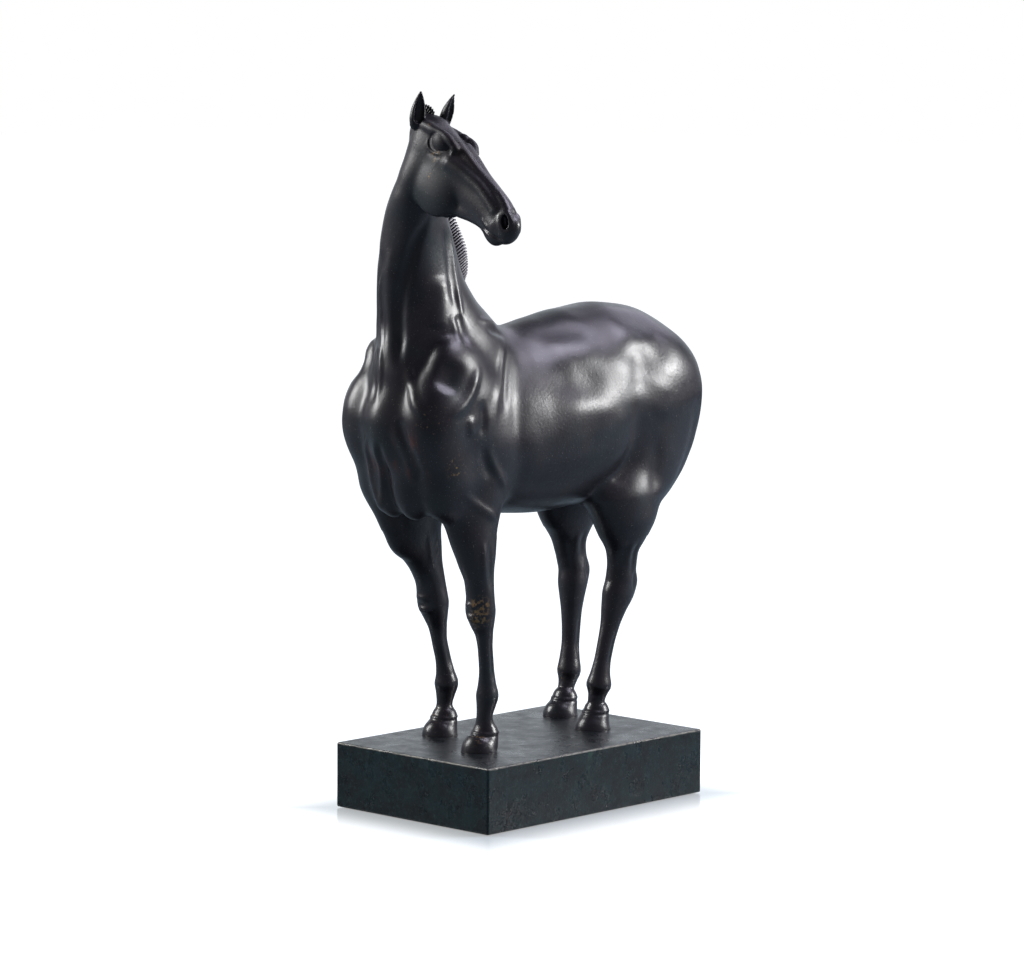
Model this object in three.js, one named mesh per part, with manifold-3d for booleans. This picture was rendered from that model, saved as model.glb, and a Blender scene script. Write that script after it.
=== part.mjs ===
// Bronze horse on a rectangular plinth: hollow castings fitted together with
// stepped sleeves and pins, and fastened to the plinth by a stud under each hoof.
// Millimetres. +X is the way the horse's body faces, +Y its left, +Z up.
// The origin is the centre of the underside, on the felt.
import * as THREE from "three";
import { RoundedBoxGeometry } from "three/addons/geometries/RoundedBoxGeometry.js";
import { mergeVertices } from "three/addons/utils/BufferGeometryUtils.js";
import Module from "manifold-3d";

const wasm = await Module();
wasm.setup();

// ---------------------------------------------------------------- driving dimensions
const GAP = 0.3;              // clearance between touching pieces
const WALL = 3;               // wall of the hollow castings
const PLINTH = { length: 200, width: 132, height: 42, wall: 5, rim: 0.6, edge: 1.2 };
const FELT = 2;               // thickness of the felt
const BOARD = 5;              // thickness of the base board
const LUG = { size: 14, top: 24, inset: 1 };
const SCREW = { head: 3.2, shank: 1.5, length: 15, sink: 2 };
const STUD = { radius: 2, inHoof: 9, below: 3 };
const WASHER = { radius: 4.5, thick: 0.8 };
const NUT = { flats: 7, thick: 3.2 };
const PIN = { radius: 1.4, length: 8, sunk: 1.8 };
const MID = -9;               // the horse's own middle plane
const SLEEVE = 8;             // how far a stepped sleeve enters its socket

// Stations are [x, y, z, half width, front or upper reach, rear or lower reach],
// with z measured from the plinth's top.
const TRUNK = [
  [125.6, MID, 208, 5, 6, 7], [121, MID, 208, 13, 15, 17], [111, MID, 208, 21, 24, 28],
  [88, MID, 206, 36, 42, 44], [66, MID, 203, 42, 53, 48], [40, MID, 203, 44, 58, 55],
  [14, MID, 204, 47, 58, 60],
  [-14, MID, 204, 50, 62, 62], [-42, MID, 205, 51, 65, 61], [-66, MID, 208, 49, 64.5, 57],
  [-90, MID, 212, 46, 59.5, 50], [-112, MID, 215, 41, 52, 42], [-130, MID, 214, 33, 42, 36],
  [-142, MID, 208, 18, 25, 22],
];

// Masses of muscle on each side: [x, y from the middle, z], [radii], tilt in degrees.
const MUSCLES = [
  [[98, 26, 208], [22, 20, 33], 0],        // point of shoulder
  [[75, 29, 217], [26, 16, 45], -22],      // shoulder blade
  [[58, 25, 176], [23, 17, 31], 0],        // upper arm, rear
  [[86, 26, 180], [23, 17, 34], 0],        // upper arm, front
  [[96, 9, 183], [19, 16, 37], 0],         // breast
  [[95, 5, 226], [19, 17, 32], -22],       // root of the neck
  [[-106, 26, 211], [41, 24, 44], 0],      // croup
  [[-98, 28, 178], [34, 19, 39], 24],      // thigh
  [[-73, 28, 156], [20, 14, 30], 0],       // stifle
  [[-121, 19, 191], [25, 18, 37], 0],      // buttock
];

// The neck's stations add the direction of the crest: its azimuth and its rise, degrees.
const NECK = [
  [50, -9, 222, 32.5, 44.5, 44.5, 180, 62], [62, -9, 248, 32.5, 41.5, 47.5, 180, 46],
  [72, -9.5, 268, 28.5, 35, 42.5, 182, 32], [80, -9.5, 285, 24.5, 31, 34, 176, 24],
  [87, -8, 302, 21, 29.5, 27.5, 172, 18], [93, -5, 319, 18.5, 27, 22.5, 173, 13],
  [98, -0.5, 336, 16.5, 24, 19, 183, 8], [101, 5, 352, 14.5, 20, 18, 205, 4],
  [103, 10, 365, 13, 17.5, 16.5, 230, -4], [103, 14, 378, 11, 13.5, 15.5, 255, -16],
  [101, 17, 388, 9, 9, 13, 262, -30],
];
const NECK_JOINT = 2;         // station where the neck meets the trunk
const HEAD_JOINT = 8;         // station where the head meets the neck
const MANE = { from: 3, thick: 2.2, stand: 8.5, root: 4 };

// The head lies along its own axes from the poll: [f forward, t up], half width, up, down.
const HEAD = { poll: [100.5, 18, 394.6], turn: 86, nod: 38, tilt: 9 };
const SKULL = [
  [-3, -9, 8.5, 8, 12], [7, -8, 12, 12, 16], [18, -8, 13.4, 13.5, 18], [28, -8, 13.6, 14.5, 17],
  [38, -8, 11.5, 14, 15], [54, -8.5, 9, 12.4, 13.5], [68, -9.5, 8.2, 12.4, 11.5],
  [80, -10, 7.8, 12.4, 10.5], [90, -10, 7.4, 11.4, 10], [96, -10, 6.4, 9.4, 8.5], [101.6, -10, 4, 6, 6],
];
const JAW = [
  [40, -25, 7, 7, 8], [54, -22, 6, 7, 7], [66, -18.5, 5.4, 6, 5.5], [78, -16.5, 5.2, 5.5, 5],
  [87, -16.5, 6, 5.5, 6], [93, -14.5, 4.5, 4, 4],
];
const CHEEK = { at: [33, -23.5, 4.5], radii: [21.5, 18.5, 8.2] };
const BROW = { at: [21, 0, 9.5], radii: [12, 7, 5] };
const EARS = {
  right: { root: [-1.5, -6, 10], tip: [-12.5, 11.6, 10], facing: [0.41, 0.91, 0.1] },
  left: { root: [0.5, -2, -10.5], tip: [-7, 17, -11.5], facing: [-0.3, 0.94, -0.1] },
};
const EAR_WIDTHS = [4.3, 4.8, 4.4, 3.2, 1.8, 0.7];

// Legs run from inside the trunk down to the coronet; `hoof` is the centre of the sole.
const LEGS = {
  foreleg_left: {
    joint: 2, hoof: [59.2, 19.5],
    line: [
      [62, 14, 170, 14, 24, 22], [64, 16, 152, 14, 22, 21], [65, 19, 136, 12.5, 18, 17.5],
      [64.5, 21.5, 121, 10.5, 13.5, 13.5], [63, 22.5, 108, 8.8, 9.8, 9.8],
      [61, 22, 89.5, 9.6, 9.6, 9.2], [59.5, 22, 81, 7.8, 7.6, 7.8], [58, 22, 74, 5.4, 5.6, 6.4],
      [55, 21.3, 52, 4.3, 4.8, 5.6], [54, 20.8, 42, 5.4, 5.6, 6.6], [53.6, 20.5, 34.5, 6.9, 6.6, 8.2],
      [55, 20, 21.5, 5.1, 4.9, 5.2], [54.2, 19.7, 15, 6.6, 6.4, 6.4], [53.6, 19.5, 10, 8.4, 8.2, 8.2],
    ],
  },
  foreleg_right: {
    joint: 2, hoof: [34.6, -38.6],
    line: [
      [60, -33, 170, 14, 34, 22], [59.5, -35, 152, 14, 34, 22], [57, -37, 136, 12.5, 26, 18],
      [50, -39.5, 121, 11, 16, 14], [44.8, -40, 108, 9.6, 11.2, 10.4],
      [39.5, -40, 86, 10.2, 10.2, 9.8], [37.3, -40, 77, 8, 7.8, 8], [35.5, -40, 69, 5.6, 5.8, 6.6],
      [31.5, -39.5, 50, 4.6, 4.9, 5.8], [29.5, -39.2, 40, 5.6, 5.8, 6.8], [28.6, -39, 32.5, 7.4, 7.4, 8.6],
      [29.9, -39, 19.5, 5.1, 5, 5.2], [30, -38.8, 13.5, 7, 6.8, 6.8], [30.2, -38.6, 9.5, 8.4, 8.2, 8.2],
    ],
  },
  hindleg_left: {
    joint: 2, hoof: [-50.8, 15.5],
    line: [
      [-72, 21, 150, 17, 28, 30], [-73, 21.5, 136, 16.4, 23.5, 23.5], [-73, 21, 124, 13, 18, 17],
      [-72.5, 20.5, 113, 9.2, 11.5, 11.5], [-71.5, 19.5, 96, 9, 9.6, 13], [-70, 19, 87, 9.2, 10.5, 12],
      [-67, 18.5, 77, 7.8, 8.6, 8.6], [-64, 18, 66, 5.9, 6.6, 6.6], [-58.5, 17.3, 46, 5, 5.6, 6.2],
      [-56.5, 16.8, 36, 6.1, 6.4, 7.2], [-55.5, 16.3, 28, 8, 8, 9], [-54, 15.8, 17, 5.4, 5.4, 5.4],
      [-54.2, 15.6, 12, 7.2, 7.2, 7.2], [-54.6, 15.5, 9.5, 8.3, 8.2, 8.2],
    ],
  },
  hindleg_right: {
    joint: 2, hoof: [-73.3, -33.3],
    line: [
      [-90, -39, 150, 17, 28, 30], [-89, -39.5, 136, 16.4, 23.5, 23.5], [-87.5, -39, 124, 13.2, 18, 17],
      [-87, -38.5, 113, 10, 12.4, 12.2], [-89, -37.5, 96, 9, 9.8, 12.5], [-88.5, -37, 87, 9.2, 10.2, 11],
      [-87.6, -36.5, 77, 8, 8.8, 8.6], [-86.8, -36.2, 67, 6.6, 7.2, 7.2], [-85, -35.4, 47, 5.5, 6, 6.6],
      [-83.6, -34.8, 37, 6.4, 6.6, 7.4], [-82.3, -34.2, 28.5, 7.7, 7.6, 8.6],
      [-79.4, -33.8, 17, 5.3, 5.3, 5.3], [-78.4, -33.5, 12, 7.2, 7.2, 7.2],
      [-77.8, -33.3, 9.5, 8.4, 8.3, 8.3],
    ],
  },
};
// Rings of a hoof: height, how far the ring has moved from coronet to sole (0 to 1), radius.
const HOOF_RINGS = [[9, 0.1, 8.4], [6, 0.45, 9.8], [GAP, 1, 12.2]];
const TAIL = [
  [-128, MID, 240, 6, 6, 6], [-140, MID, 236, 7, 7, 7], [-149, MID, 224, 7.5, 6.5, 6.5],
  [-153, MID, 207, 7, 5.5, 5.5], [-152, MID, 190, 5.5, 4.5, 4.5], [-149, MID, 178, 3, 2.5, 2.5],
];

// ---------------------------------------------------------------- materials
const metal = (color, roughness) => new THREE.MeshStandardMaterial({ color, roughness, metalness: 1 });
const bronze = metal(0x1d1c20, 0.35);
const plinthBronze = metal(0x1c2626, 0.5);
const brass = metal(0xa98a4b, 0.4);
const steel = metal(0x8c8f92, 0.45);
const wood = new THREE.MeshStandardMaterial({ color: 0x8a6a45, roughness: 0.8 });
const felt = new THREE.MeshStandardMaterial({ color: 0x1f3327, roughness: 1 });

// ---------------------------------------------------------------- solids
const object = new THREE.Group();

function solid(geometry) {
  const bare = geometry.index ? geometry.toNonIndexed() : geometry.clone();
  for (const name of Object.keys(bare.attributes)) if (name !== "position") bare.deleteAttribute(name);
  const merged = mergeVertices(bare, 1e-4);
  return new wasm.Manifold(new wasm.Mesh({
    numProp: 3,
    vertProperties: new Float32Array(merged.attributes.position.array),
    triVerts: new Uint32Array(merged.index.array),
  }));
}

function join(solids) {
  return solids.reduce((whole, next) => whole.add(next));
}

function cut(whole, tools) {
  return tools.reduce((left, tool) => left.subtract(tool), whole);
}

function add(name, shape, material) {
  const { vertProperties, triVerts } = shape.getMesh();
  const geometry = new THREE.BufferGeometry();
  geometry.setAttribute("position", new THREE.BufferAttribute(vertProperties, 3));
  geometry.setIndex(new THREE.BufferAttribute(triVerts, 1));
  const mesh = new THREE.Mesh(geometry, material);
  mesh.name = name;
  object.add(mesh);
}

// Rings through stations {at, up, side, front, back}: each ring stands square to the path.
function rings(stations, sides, grow = 0) {
  return stations.map((station, i) => {
    const before = stations[Math.max(i - 1, 0)].at;
    const after = stations[Math.min(i + 1, stations.length - 1)].at;
    const along = after.clone().sub(before).normalize();
    const up = station.up.clone().addScaledVector(along, -station.up.dot(along)).normalize();
    const across = new THREE.Vector3().crossVectors(up, along);
    return { at: station.at, along, points: Array.from({ length: sides }, (_, k) => {
      const angle = (2 * Math.PI * k) / sides;
      const reach = Math.cos(angle) > 0 ? station.front : station.back;
      return station.at.clone()
        .addScaledVector(up, Math.cos(angle) * (reach + grow))
        .addScaledVector(across, Math.sin(angle) * (station.side + grow));
    }) };
  });
}

// A closed skin over a run of rings, with a flat end at each end.
function skin(run, stretchStart = 0, stretchEnd = 0) {
  const sides = run[0].points.length;
  const last = run.length - 1;
  const shift = (i) => (i === 0 ? -stretchStart : 0) + (i === last ? stretchEnd : 0);
  const position = [];
  const put = (point, ring, i) => {
    position.push(...point.clone().addScaledVector(ring.along, shift(i)).toArray());
  };
  run.forEach((ring, i) => ring.points.forEach((point) => put(point, ring, i)));
  put(run[0].at, run[0], 0);
  put(run[last].at, run[last], last);
  const index = [];
  for (let i = 0; i < last; i++) {
    for (let k = 0; k < sides; k++) {
      const a = i * sides + k;
      const b = i * sides + ((k + 1) % sides);
      index.push(a, a + sides, b, b, a + sides, b + sides);
    }
  }
  const start = run.length * sides;
  for (let k = 0; k < sides; k++) {
    const next = (k + 1) % sides;
    index.push(start, k, next, start + 1, last * sides + next, last * sides + k);
  }
  const geometry = new THREE.BufferGeometry();
  geometry.setAttribute("position", new THREE.Float32BufferAttribute(position, 3));
  geometry.setIndex(index);
  return solid(geometry);
}

function ellipsoid(at, radii, turn = new THREE.Matrix4()) {
  const ball = new THREE.SphereGeometry(1, 12, 8);
  ball.scale(...radii);
  ball.applyMatrix4(turn);
  ball.translate(...at);
  return solid(ball);
}

function box(width, depth, low, high, x = 0, y = 0) {
  return solid(new THREE.BoxGeometry(width, depth, high - low).translate(x, y, (low + high) / 2));
}

// A solid turned about a vertical axis; the outline is [radius, height] from axis to axis.
function turned(outline, x, y, segments = 16) {
  const points = outline.map(([radius, height]) => new THREE.Vector2(radius, height));
  return solid(new THREE.LatheGeometry(points, segments).rotateX(Math.PI / 2).translate(x, y, 0));
}

function rod(radius, low, high, x, y, segments = 16) {
  return turned([[0, low], [radius, low], [radius, high], [0, high]], x, y, segments);
}

// ---------------------------------------------------------------- stations of each casting
const ground = PLINTH.height;
const vector = (x, y, z) => new THREE.Vector3(x, y, z + ground);
const UP = new THREE.Vector3(0, 0, 1);
const AHEAD = new THREE.Vector3(1, 0, 0);

const along = (table, up) => table.map(([x, y, z, side, front, back]) => (
  { at: vector(x, y, z), up, side, front, back }));

function crestWay(azimuth, rise) {
  const [a, r] = [azimuth, rise].map(THREE.MathUtils.degToRad);
  return new THREE.Vector3(Math.cos(a) * Math.cos(r), Math.sin(a) * Math.cos(r), Math.sin(r));
}

const neckStations = NECK.map(([x, y, z, side, front, back, azimuth, rise]) => (
  { at: vector(x, y, z), up: crestWay(azimuth, rise), side, front, back }));

const maneStations = neckStations.slice(MANE.from).map(({ at, up, front }) => ({
  at: at.clone().addScaledVector(up, front), up, side: MANE.thick, front: MANE.stand, back: MANE.root }));

// The head's axes: forward along the face, up out of the forehead, and to its right.
const headAxes = (() => {
  const [turn, nod, tilt] = [HEAD.turn, HEAD.nod, HEAD.tilt].map(THREE.MathUtils.degToRad);
  const forward = new THREE.Vector3(
    Math.cos(turn) * Math.cos(nod), Math.sin(turn) * Math.cos(nod), -Math.sin(nod));
  const level = new THREE.Vector3(Math.sin(turn), -Math.cos(turn), 0);
  const upright = new THREE.Vector3().crossVectors(level, forward);
  const right = level.clone().multiplyScalar(Math.cos(tilt)).addScaledVector(upright, Math.sin(tilt));
  const up = upright.multiplyScalar(Math.cos(tilt)).addScaledVector(level, -Math.sin(tilt));
  return { forward, up, right };
})();

function headPoint(f, t, r = 0) {
  return vector(...HEAD.poll).addScaledVector(headAxes.forward, f)
    .addScaledVector(headAxes.up, t).addScaledVector(headAxes.right, r);
}

const headStations = (table) => table.map(([f, t, side, front, back]) => (
  { at: headPoint(f, t), up: headAxes.up, side, front, back }));

// ---------------------------------------------------------------- castings
const TRUNK_SIDES = 20;
const NECK_SIDES = 16;
const LEG_SIDES = 12;
const neckOuter = rings(neckStations, NECK_SIDES);
const neckInner = rings(neckStations, NECK_SIDES, -WALL);
const neckSleeve = rings(neckStations, NECK_SIDES, -WALL - GAP);
const neckBore = rings(neckStations, NECK_SIDES, -2 * WALL);
const neckGrown = rings(neckStations, NECK_SIDES, GAP);
const maneRings = rings(maneStations, 8);
const maneGrown = skin(rings(maneStations, 8, GAP).slice(0, HEAD_JOINT + 1 - MANE.from));
const manePart = (from, to) => skin(maneRings.slice(from - MANE.from, to + 1 - MANE.from), -GAP, -GAP);
const legRings = Object.fromEntries(Object.entries(LEGS).map(([name, leg]) => {
  const stations = along(leg.line, AHEAD);
  return [name, {
    outer: rings(stations, LEG_SIDES),
    socket: rings(stations, LEG_SIDES, -WALL),
    sleeve: rings(stations, LEG_SIDES, -WALL - GAP),
    joint: leg.joint,
  }];
}));
const tailRings = rings(along(TAIL, AHEAD.clone().negate()), 12);
const tailSocket = rings(along(TAIL, AHEAD.clone().negate()), 12, GAP);

// Joint pins: a point on the sleeve's side wall and the way the pin points out.
const pins = [];
function addPins(name, station, from, ways) {
  const outward = new THREE.Vector3().crossVectors(station.up, from).normalize();
  ways.forEach((way, i) => {
    const out = outward.clone().multiplyScalar(way);
    const end = station.at.clone().addScaledVector(out, station.side - PIN.sunk);
    pins.push({ name: ways.length > 1 ? `${name}_${i + 1}` : name, end, out });
  });
}
function pinSolid({ end, out }, grow = 0) {
  const shape = new THREE.CylinderGeometry(PIN.radius + grow, PIN.radius + grow, PIN.length + 2 * grow, 12);
  const middle = end.clone().addScaledVector(out, -PIN.length / 2);
  shape.applyQuaternion(new THREE.Quaternion().setFromUnitVectors(new THREE.Vector3(0, 1, 0), out));
  return solid(shape.translate(middle.x, middle.y, middle.z));
}
function between(stations, joint, reach) {
  const here = stations[joint];
  const way = stations[joint - 1].at.clone().sub(here.at).normalize();
  return { station: { ...here, at: here.at.clone().addScaledVector(way, reach) }, way };
}
for (const [name, leg] of Object.entries(LEGS)) {
  const { station, way } = between(along(leg.line, AHEAD), leg.joint, SLEEVE / 2);
  addPins(`${name}_pin`, station, way, [name.endsWith("left") ? -1 : 1]);
}
for (const [name, joint] of [["neck_pin", NECK_JOINT], ["head_pin", HEAD_JOINT]]) {
  const { station, way } = between(neckStations, joint, name === "neck_pin" ? SLEEVE / 2 : -SLEEVE / 2);
  addPins(name, station, way, [1, -1]);
}
const pinHoles = pins.map((pin) => pinSolid(pin, GAP));

// The space that the neck fills above the trunk, which the trunk's muscles keep clear of.
const neckClear = skin(neckGrown.slice(NECK_JOINT, HEAD_JOINT + 1));

function tilt(degrees) {
  return new THREE.Matrix4().makeRotationY(THREE.MathUtils.degToRad(degrees));
}

function torso() {
  const outside = [skin(rings(along(TRUNK, UP), TRUNK_SIDES)), skin(neckOuter.slice(0, NECK_JOINT + 1))];
  for (const [[x, off, z], radii, degrees] of MUSCLES) {
    for (const side of [1, -1]) {
      outside.push(ellipsoid([x, MID + side * off, z + ground], radii, tilt(degrees)));
    }
  }
  const inside = [
    skin(rings(along(TRUNK, UP), TRUNK_SIDES, -WALL), -WALL, -WALL),
    skin(neckInner.slice(0, NECK_JOINT + 1), 0, 0.6),
  ];
  inside.push(sleeve(neckInner, NECK_JOINT, -1, SLEEVE + GAP));
  for (const { outer, socket, joint } of Object.values(legRings)) {
    outside.push(skin(outer.slice(0, joint + 1)));
    inside.push(skin(socket.slice(0, joint + 1), 0, 0.6), sleeve(socket, joint, -1, SLEEVE + GAP));
  }
  return cut(join(outside), [...inside, skin(tailSocket), ...pinHoles, neckClear]);
}

// A sleeve that steps down from a joint's ring into the neighbour's socket.
function sleeve(ringsOf, joint, way, reach = SLEEVE) {
  const near = ringsOf[joint];
  const moved = (distance) => ({
    at: near.at.clone().addScaledVector(near.along, distance), along: near.along,
    points: near.points.map((point) => point.clone().addScaledVector(near.along, distance)) });
  return way < 0 ? skin([moved(-reach), moved(1)]) : skin([moved(-1), moved(reach)]);
}

function neck() {
  const outside = [
    skin(neckOuter.slice(NECK_JOINT, HEAD_JOINT + 1), -GAP, 0),
    sleeve(neckSleeve, NECK_JOINT, -1),
    sleeve(neckSleeve, HEAD_JOINT, 1),
    manePart(MANE.from, HEAD_JOINT),
  ];
  const bore = skin(neckBore.slice(NECK_JOINT, HEAD_JOINT + 1), SLEEVE + 1, SLEEVE + 1);
  return cut(join(outside), [bore, ...pinHoles]);
}

function head() {
  const turn = new THREE.Matrix4().makeBasis(headAxes.forward, headAxes.up, headAxes.right);
  const outside = [
    skin(rings(headStations(SKULL), NECK_SIDES)),
    skin(rings(headStations(JAW), 12)),
    skin(neckOuter.slice(HEAD_JOINT), -GAP, 0),
    manePart(HEAD_JOINT, NECK.length - 1),
  ];
  for (const side of [1, -1]) {
    for (const { at: [f, t, r], radii } of [CHEEK, BROW]) {
      outside.push(ellipsoid(headPoint(f, t, r * side).toArray(), radii, turn));
    }
  }
  outside.push(...Object.values(EARS).map(ear));
  const socket = sleeve(neckInner, HEAD_JOINT, 1, SLEEVE + GAP);
  const throat = skin(neckInner.slice(HEAD_JOINT, -1), 1, 0);
  const hollow = skin(rings(headStations(SKULL.slice(1, 6)), NECK_SIDES, -WALL));
  const clear = [neckClear, maneGrown];
  return cut(join(outside), [socket, throat, hollow, ...clear, ...pinHoles]);
}

function ear({ root, tip, facing }) {
  const [low, high] = [headPoint(...root), headPoint(...tip)];
  const up = headPoint(...facing).sub(headPoint(0, 0)).normalize();
  const steps = EAR_WIDTHS.length - 1;
  return skin(rings(EAR_WIDTHS.map((width, i) => (
    { at: low.clone().lerp(high, i / steps), up, side: width, front: width * 0.5, back: width * 0.9 }
  )), 10));
}

function leg(name) {
  const { outer, sleeve: stub, joint } = legRings[name];
  const [hoofX, hoofY] = LEGS[name].hoof;
  const [topX, topY] = LEGS[name].line.at(-1);
  const hoof = HOOF_RINGS.map(([z, moved, radius]) => ({
    at: vector(topX + (hoofX - topX) * moved, topY + (hoofY - topY) * moved, z),
    up: AHEAD, side: radius * 0.95, front: radius, back: radius }));
  const whole = join([
    skin(outer.slice(joint), -GAP, 0),
    skin(levelRings(hoof)),
    sleeve(stub, joint, -1),
  ]);
  const studHole = rod(STUD.radius + GAP, ground - 1, ground + STUD.inHoof + GAP, hoofX, hoofY);
  return cut(whole, [studHole, ...pinHoles]);
}

// Rings that lie level, for a foot that stands flat.
function levelRings(stations) {
  return rings(stations, LEG_SIDES).map((ring, i) => {
    const { at, side, front, back } = stations[i];
    const down = new THREE.Vector3(0, 0, -1);
    const across = new THREE.Vector3().crossVectors(AHEAD, down);
    return { at, along: down, points: ring.points.map((_, k) => {
      const angle = (2 * Math.PI * k) / ring.points.length;
      const reach = Math.cos(angle) > 0 ? front : back;
      return at.clone().addScaledVector(AHEAD, Math.cos(angle) * reach)
        .addScaledVector(across, Math.sin(angle) * side);
    }) };
  });
}

function tail() {
  return skin(tailRings);
}

// ---------------------------------------------------------------- plinth and fastenings
const hooves = Object.values(LEGS).map(({ hoof }) => hoof);
const inner = { length: PLINTH.length - 2 * PLINTH.wall, width: PLINTH.width - 2 * PLINTH.wall };
const ceiling = PLINTH.height - PLINTH.wall;
const boardLow = FELT + GAP;
const boardHigh = boardLow + BOARD;
const lugAt = [1, -1].flatMap((sx) => [1, -1].map((sy) => [
  sx * (inner.length / 2 - LUG.size / 2 - LUG.inset), sy * (inner.width / 2 - LUG.size / 2 - LUG.inset)]));

function plinth() {
  const height = PLINTH.height - PLINTH.rim;
  const block = solid(new RoundedBoxGeometry(PLINTH.length, PLINTH.width, height, 2, PLINTH.edge)
    .translate(0, 0, PLINTH.rim + height / 2));
  const hollow = box(inner.length, inner.width, -1, ceiling);
  const lugs = lugAt.map(([x, y]) => box(
    LUG.size + 4, LUG.size + 4, boardHigh + GAP, ceiling + 1, x + Math.sign(x) * 2, y + Math.sign(y) * 2));
  const holes = [
    ...hooves.map(([x, y]) => rod(STUD.radius + GAP, ceiling - 1, PLINTH.height + 1, x, y)),
    ...lugAt.map(([x, y]) => rod(SCREW.shank + GAP, 0, LUG.top, x, y)),
  ];
  return cut(join([cut(block, [hollow]), ...lugs]), holes);
}

function baseBoard() {
  const board = box(inner.length - 2 * GAP, inner.width - 2 * GAP, boardLow, boardHigh);
  const seat = SCREW.head + GAP;
  return cut(board, lugAt.map(([x, y]) => turned([
    [0, boardLow - 1], [seat, boardLow - 1], [seat, boardLow + GAP],
    [SCREW.shank + GAP, boardLow + SCREW.sink + GAP],
    [SCREW.shank + GAP, boardHigh + 1], [0, boardHigh + 1]], x, y)));
}

function boardScrew([x, y]) {
  const base = boardLow + GAP / 2;
  return turned([[0, base], [SCREW.head, base], [SCREW.shank, base + SCREW.sink],
    [SCREW.shank, base + SCREW.length - 3], [0, base + SCREW.length]], x, y);
}

function washer([x, y]) {
  const top = ceiling - GAP;
  const [hole, low] = [STUD.radius + GAP, top - WASHER.thick];
  return turned([[hole, low], [WASHER.radius, low], [WASHER.radius, top], [hole, top], [hole, low]], x, y);
}

function nut([x, y]) {
  const top = ceiling - 2 * GAP - WASHER.thick;
  const hexagon = rod(NUT.flats / Math.sqrt(3), top - NUT.thick, top, x, y, 6);
  return cut(hexagon, [rod(STUD.radius + GAP, top - NUT.thick - 1, top + 1, x, y)]);
}

function stud([x, y]) {
  const low = ceiling - WASHER.thick - NUT.thick - STUD.below;
  return rod(STUD.radius, low, ground + STUD.inHoof, x, y);
}

// ---------------------------------------------------------------- assembly
add("plinth", plinth(), plinthBronze);
add("base_board", baseBoard(), wood);
add("felt", box(inner.length - 4 * GAP, inner.width - 4 * GAP, 0, FELT), felt);
lugAt.forEach((place, i) => add(`board_screw_${i + 1}`, boardScrew(place), brass));
add("torso", torso(), bronze);
add("neck", neck(), bronze);
add("head", head(), bronze);
add("tail", tail(), bronze);
for (const name of Object.keys(LEGS)) add(name, leg(name), bronze);
Object.entries(LEGS).forEach(([name, { hoof }]) => {
  add(`${name}_stud`, stud(hoof), steel);
  add(`${name}_washer`, washer(hoof), steel);
  add(`${name}_nut`, nut(hoof), steel);
});
pins.forEach((pin) => add(pin.name, pinSolid(pin), bronze));

export default object;
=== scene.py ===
"""Bronze statuette of a standing horse on a bronze plinth.

The bronze is modelled as clay is: forms are pressed together in a grid of distances, worked over with
strokes, and the skin of the grid becomes each casting's mesh. The castings part where the CAD ones do.
"""
import math

import bmesh
import bpy
import numpy as np
from mathutils import Matrix, Vector


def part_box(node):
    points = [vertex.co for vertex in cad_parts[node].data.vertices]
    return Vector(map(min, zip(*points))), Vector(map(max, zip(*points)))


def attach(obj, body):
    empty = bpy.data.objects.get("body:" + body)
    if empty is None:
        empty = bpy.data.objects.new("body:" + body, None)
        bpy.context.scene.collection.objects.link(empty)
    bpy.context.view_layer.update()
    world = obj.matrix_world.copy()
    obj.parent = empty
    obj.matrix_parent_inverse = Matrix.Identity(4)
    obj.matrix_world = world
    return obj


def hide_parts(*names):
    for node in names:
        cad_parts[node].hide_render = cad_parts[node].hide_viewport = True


MM = 0.001
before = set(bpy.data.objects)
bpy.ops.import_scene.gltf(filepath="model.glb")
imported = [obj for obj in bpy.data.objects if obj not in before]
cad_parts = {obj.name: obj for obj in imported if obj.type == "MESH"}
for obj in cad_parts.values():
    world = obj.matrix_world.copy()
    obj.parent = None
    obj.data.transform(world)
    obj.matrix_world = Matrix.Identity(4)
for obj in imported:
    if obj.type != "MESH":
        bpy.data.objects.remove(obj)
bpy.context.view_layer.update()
PLINTH_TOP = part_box("plinth")[1][2] / MM


# ---------------------------------------------------------------- clay: a grid of distances to a skin
def unit(v):
    """The vector, or each row of vectors, at length 1."""
    v = np.asarray(v, float)
    return v / np.maximum(np.linalg.norm(v, axis=-1, keepdims=True), 1e-9)


def turned(axis, degrees):
    """Rows are the x, y and z axes turned about an axis through the origin."""
    a, t = unit(axis), np.radians(degrees)
    k = np.array([[0, -a[2], a[1]], [a[2], 0, -a[0]], [-a[1], a[0], 0]])
    return (np.eye(3) + np.sin(t) * k + (1 - np.cos(t)) * k @ k).T


def curve_through(knots, values, at):
    """A smooth curve through the values; it doesn't overshoot between them."""
    values = np.asarray(values, float)
    width = np.diff(knots)[:, None]
    slope = np.diff(values, axis=0) / width
    tangent = np.zeros_like(values)
    tangent[0], tangent[-1] = slope[0], slope[-1]
    before, after = slope[:-1], slope[1:]
    same_way = before * after > 0
    safe = np.where(same_way, before + after, 1)
    tangent[1:-1] = np.where(same_way, 2 * before * after / safe, 0)
    i = np.clip(np.searchsorted(knots, at, side="right") - 1, 0, len(knots) - 2)
    t, w = ((at - np.asarray(knots)[i]) / np.diff(knots)[i])[:, None], width[i]
    return (values[i] * (1 + 2 * t) * (1 - t) ** 2 + tangent[i] * w * t * (1 - t) ** 2
            + values[i + 1] * t * t * (3 - 2 * t) + tangent[i + 1] * w * t * t * (t - 1))


def soft_min(a, b, softness):
    """The smaller of two distances, with their crossing rounded off."""
    if softness <= 0:
        return np.minimum(a, b)
    near = np.maximum(softness - np.abs(a - b), 0) / softness
    return np.minimum(a, b) - near ** 3 * (softness / 6)


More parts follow.
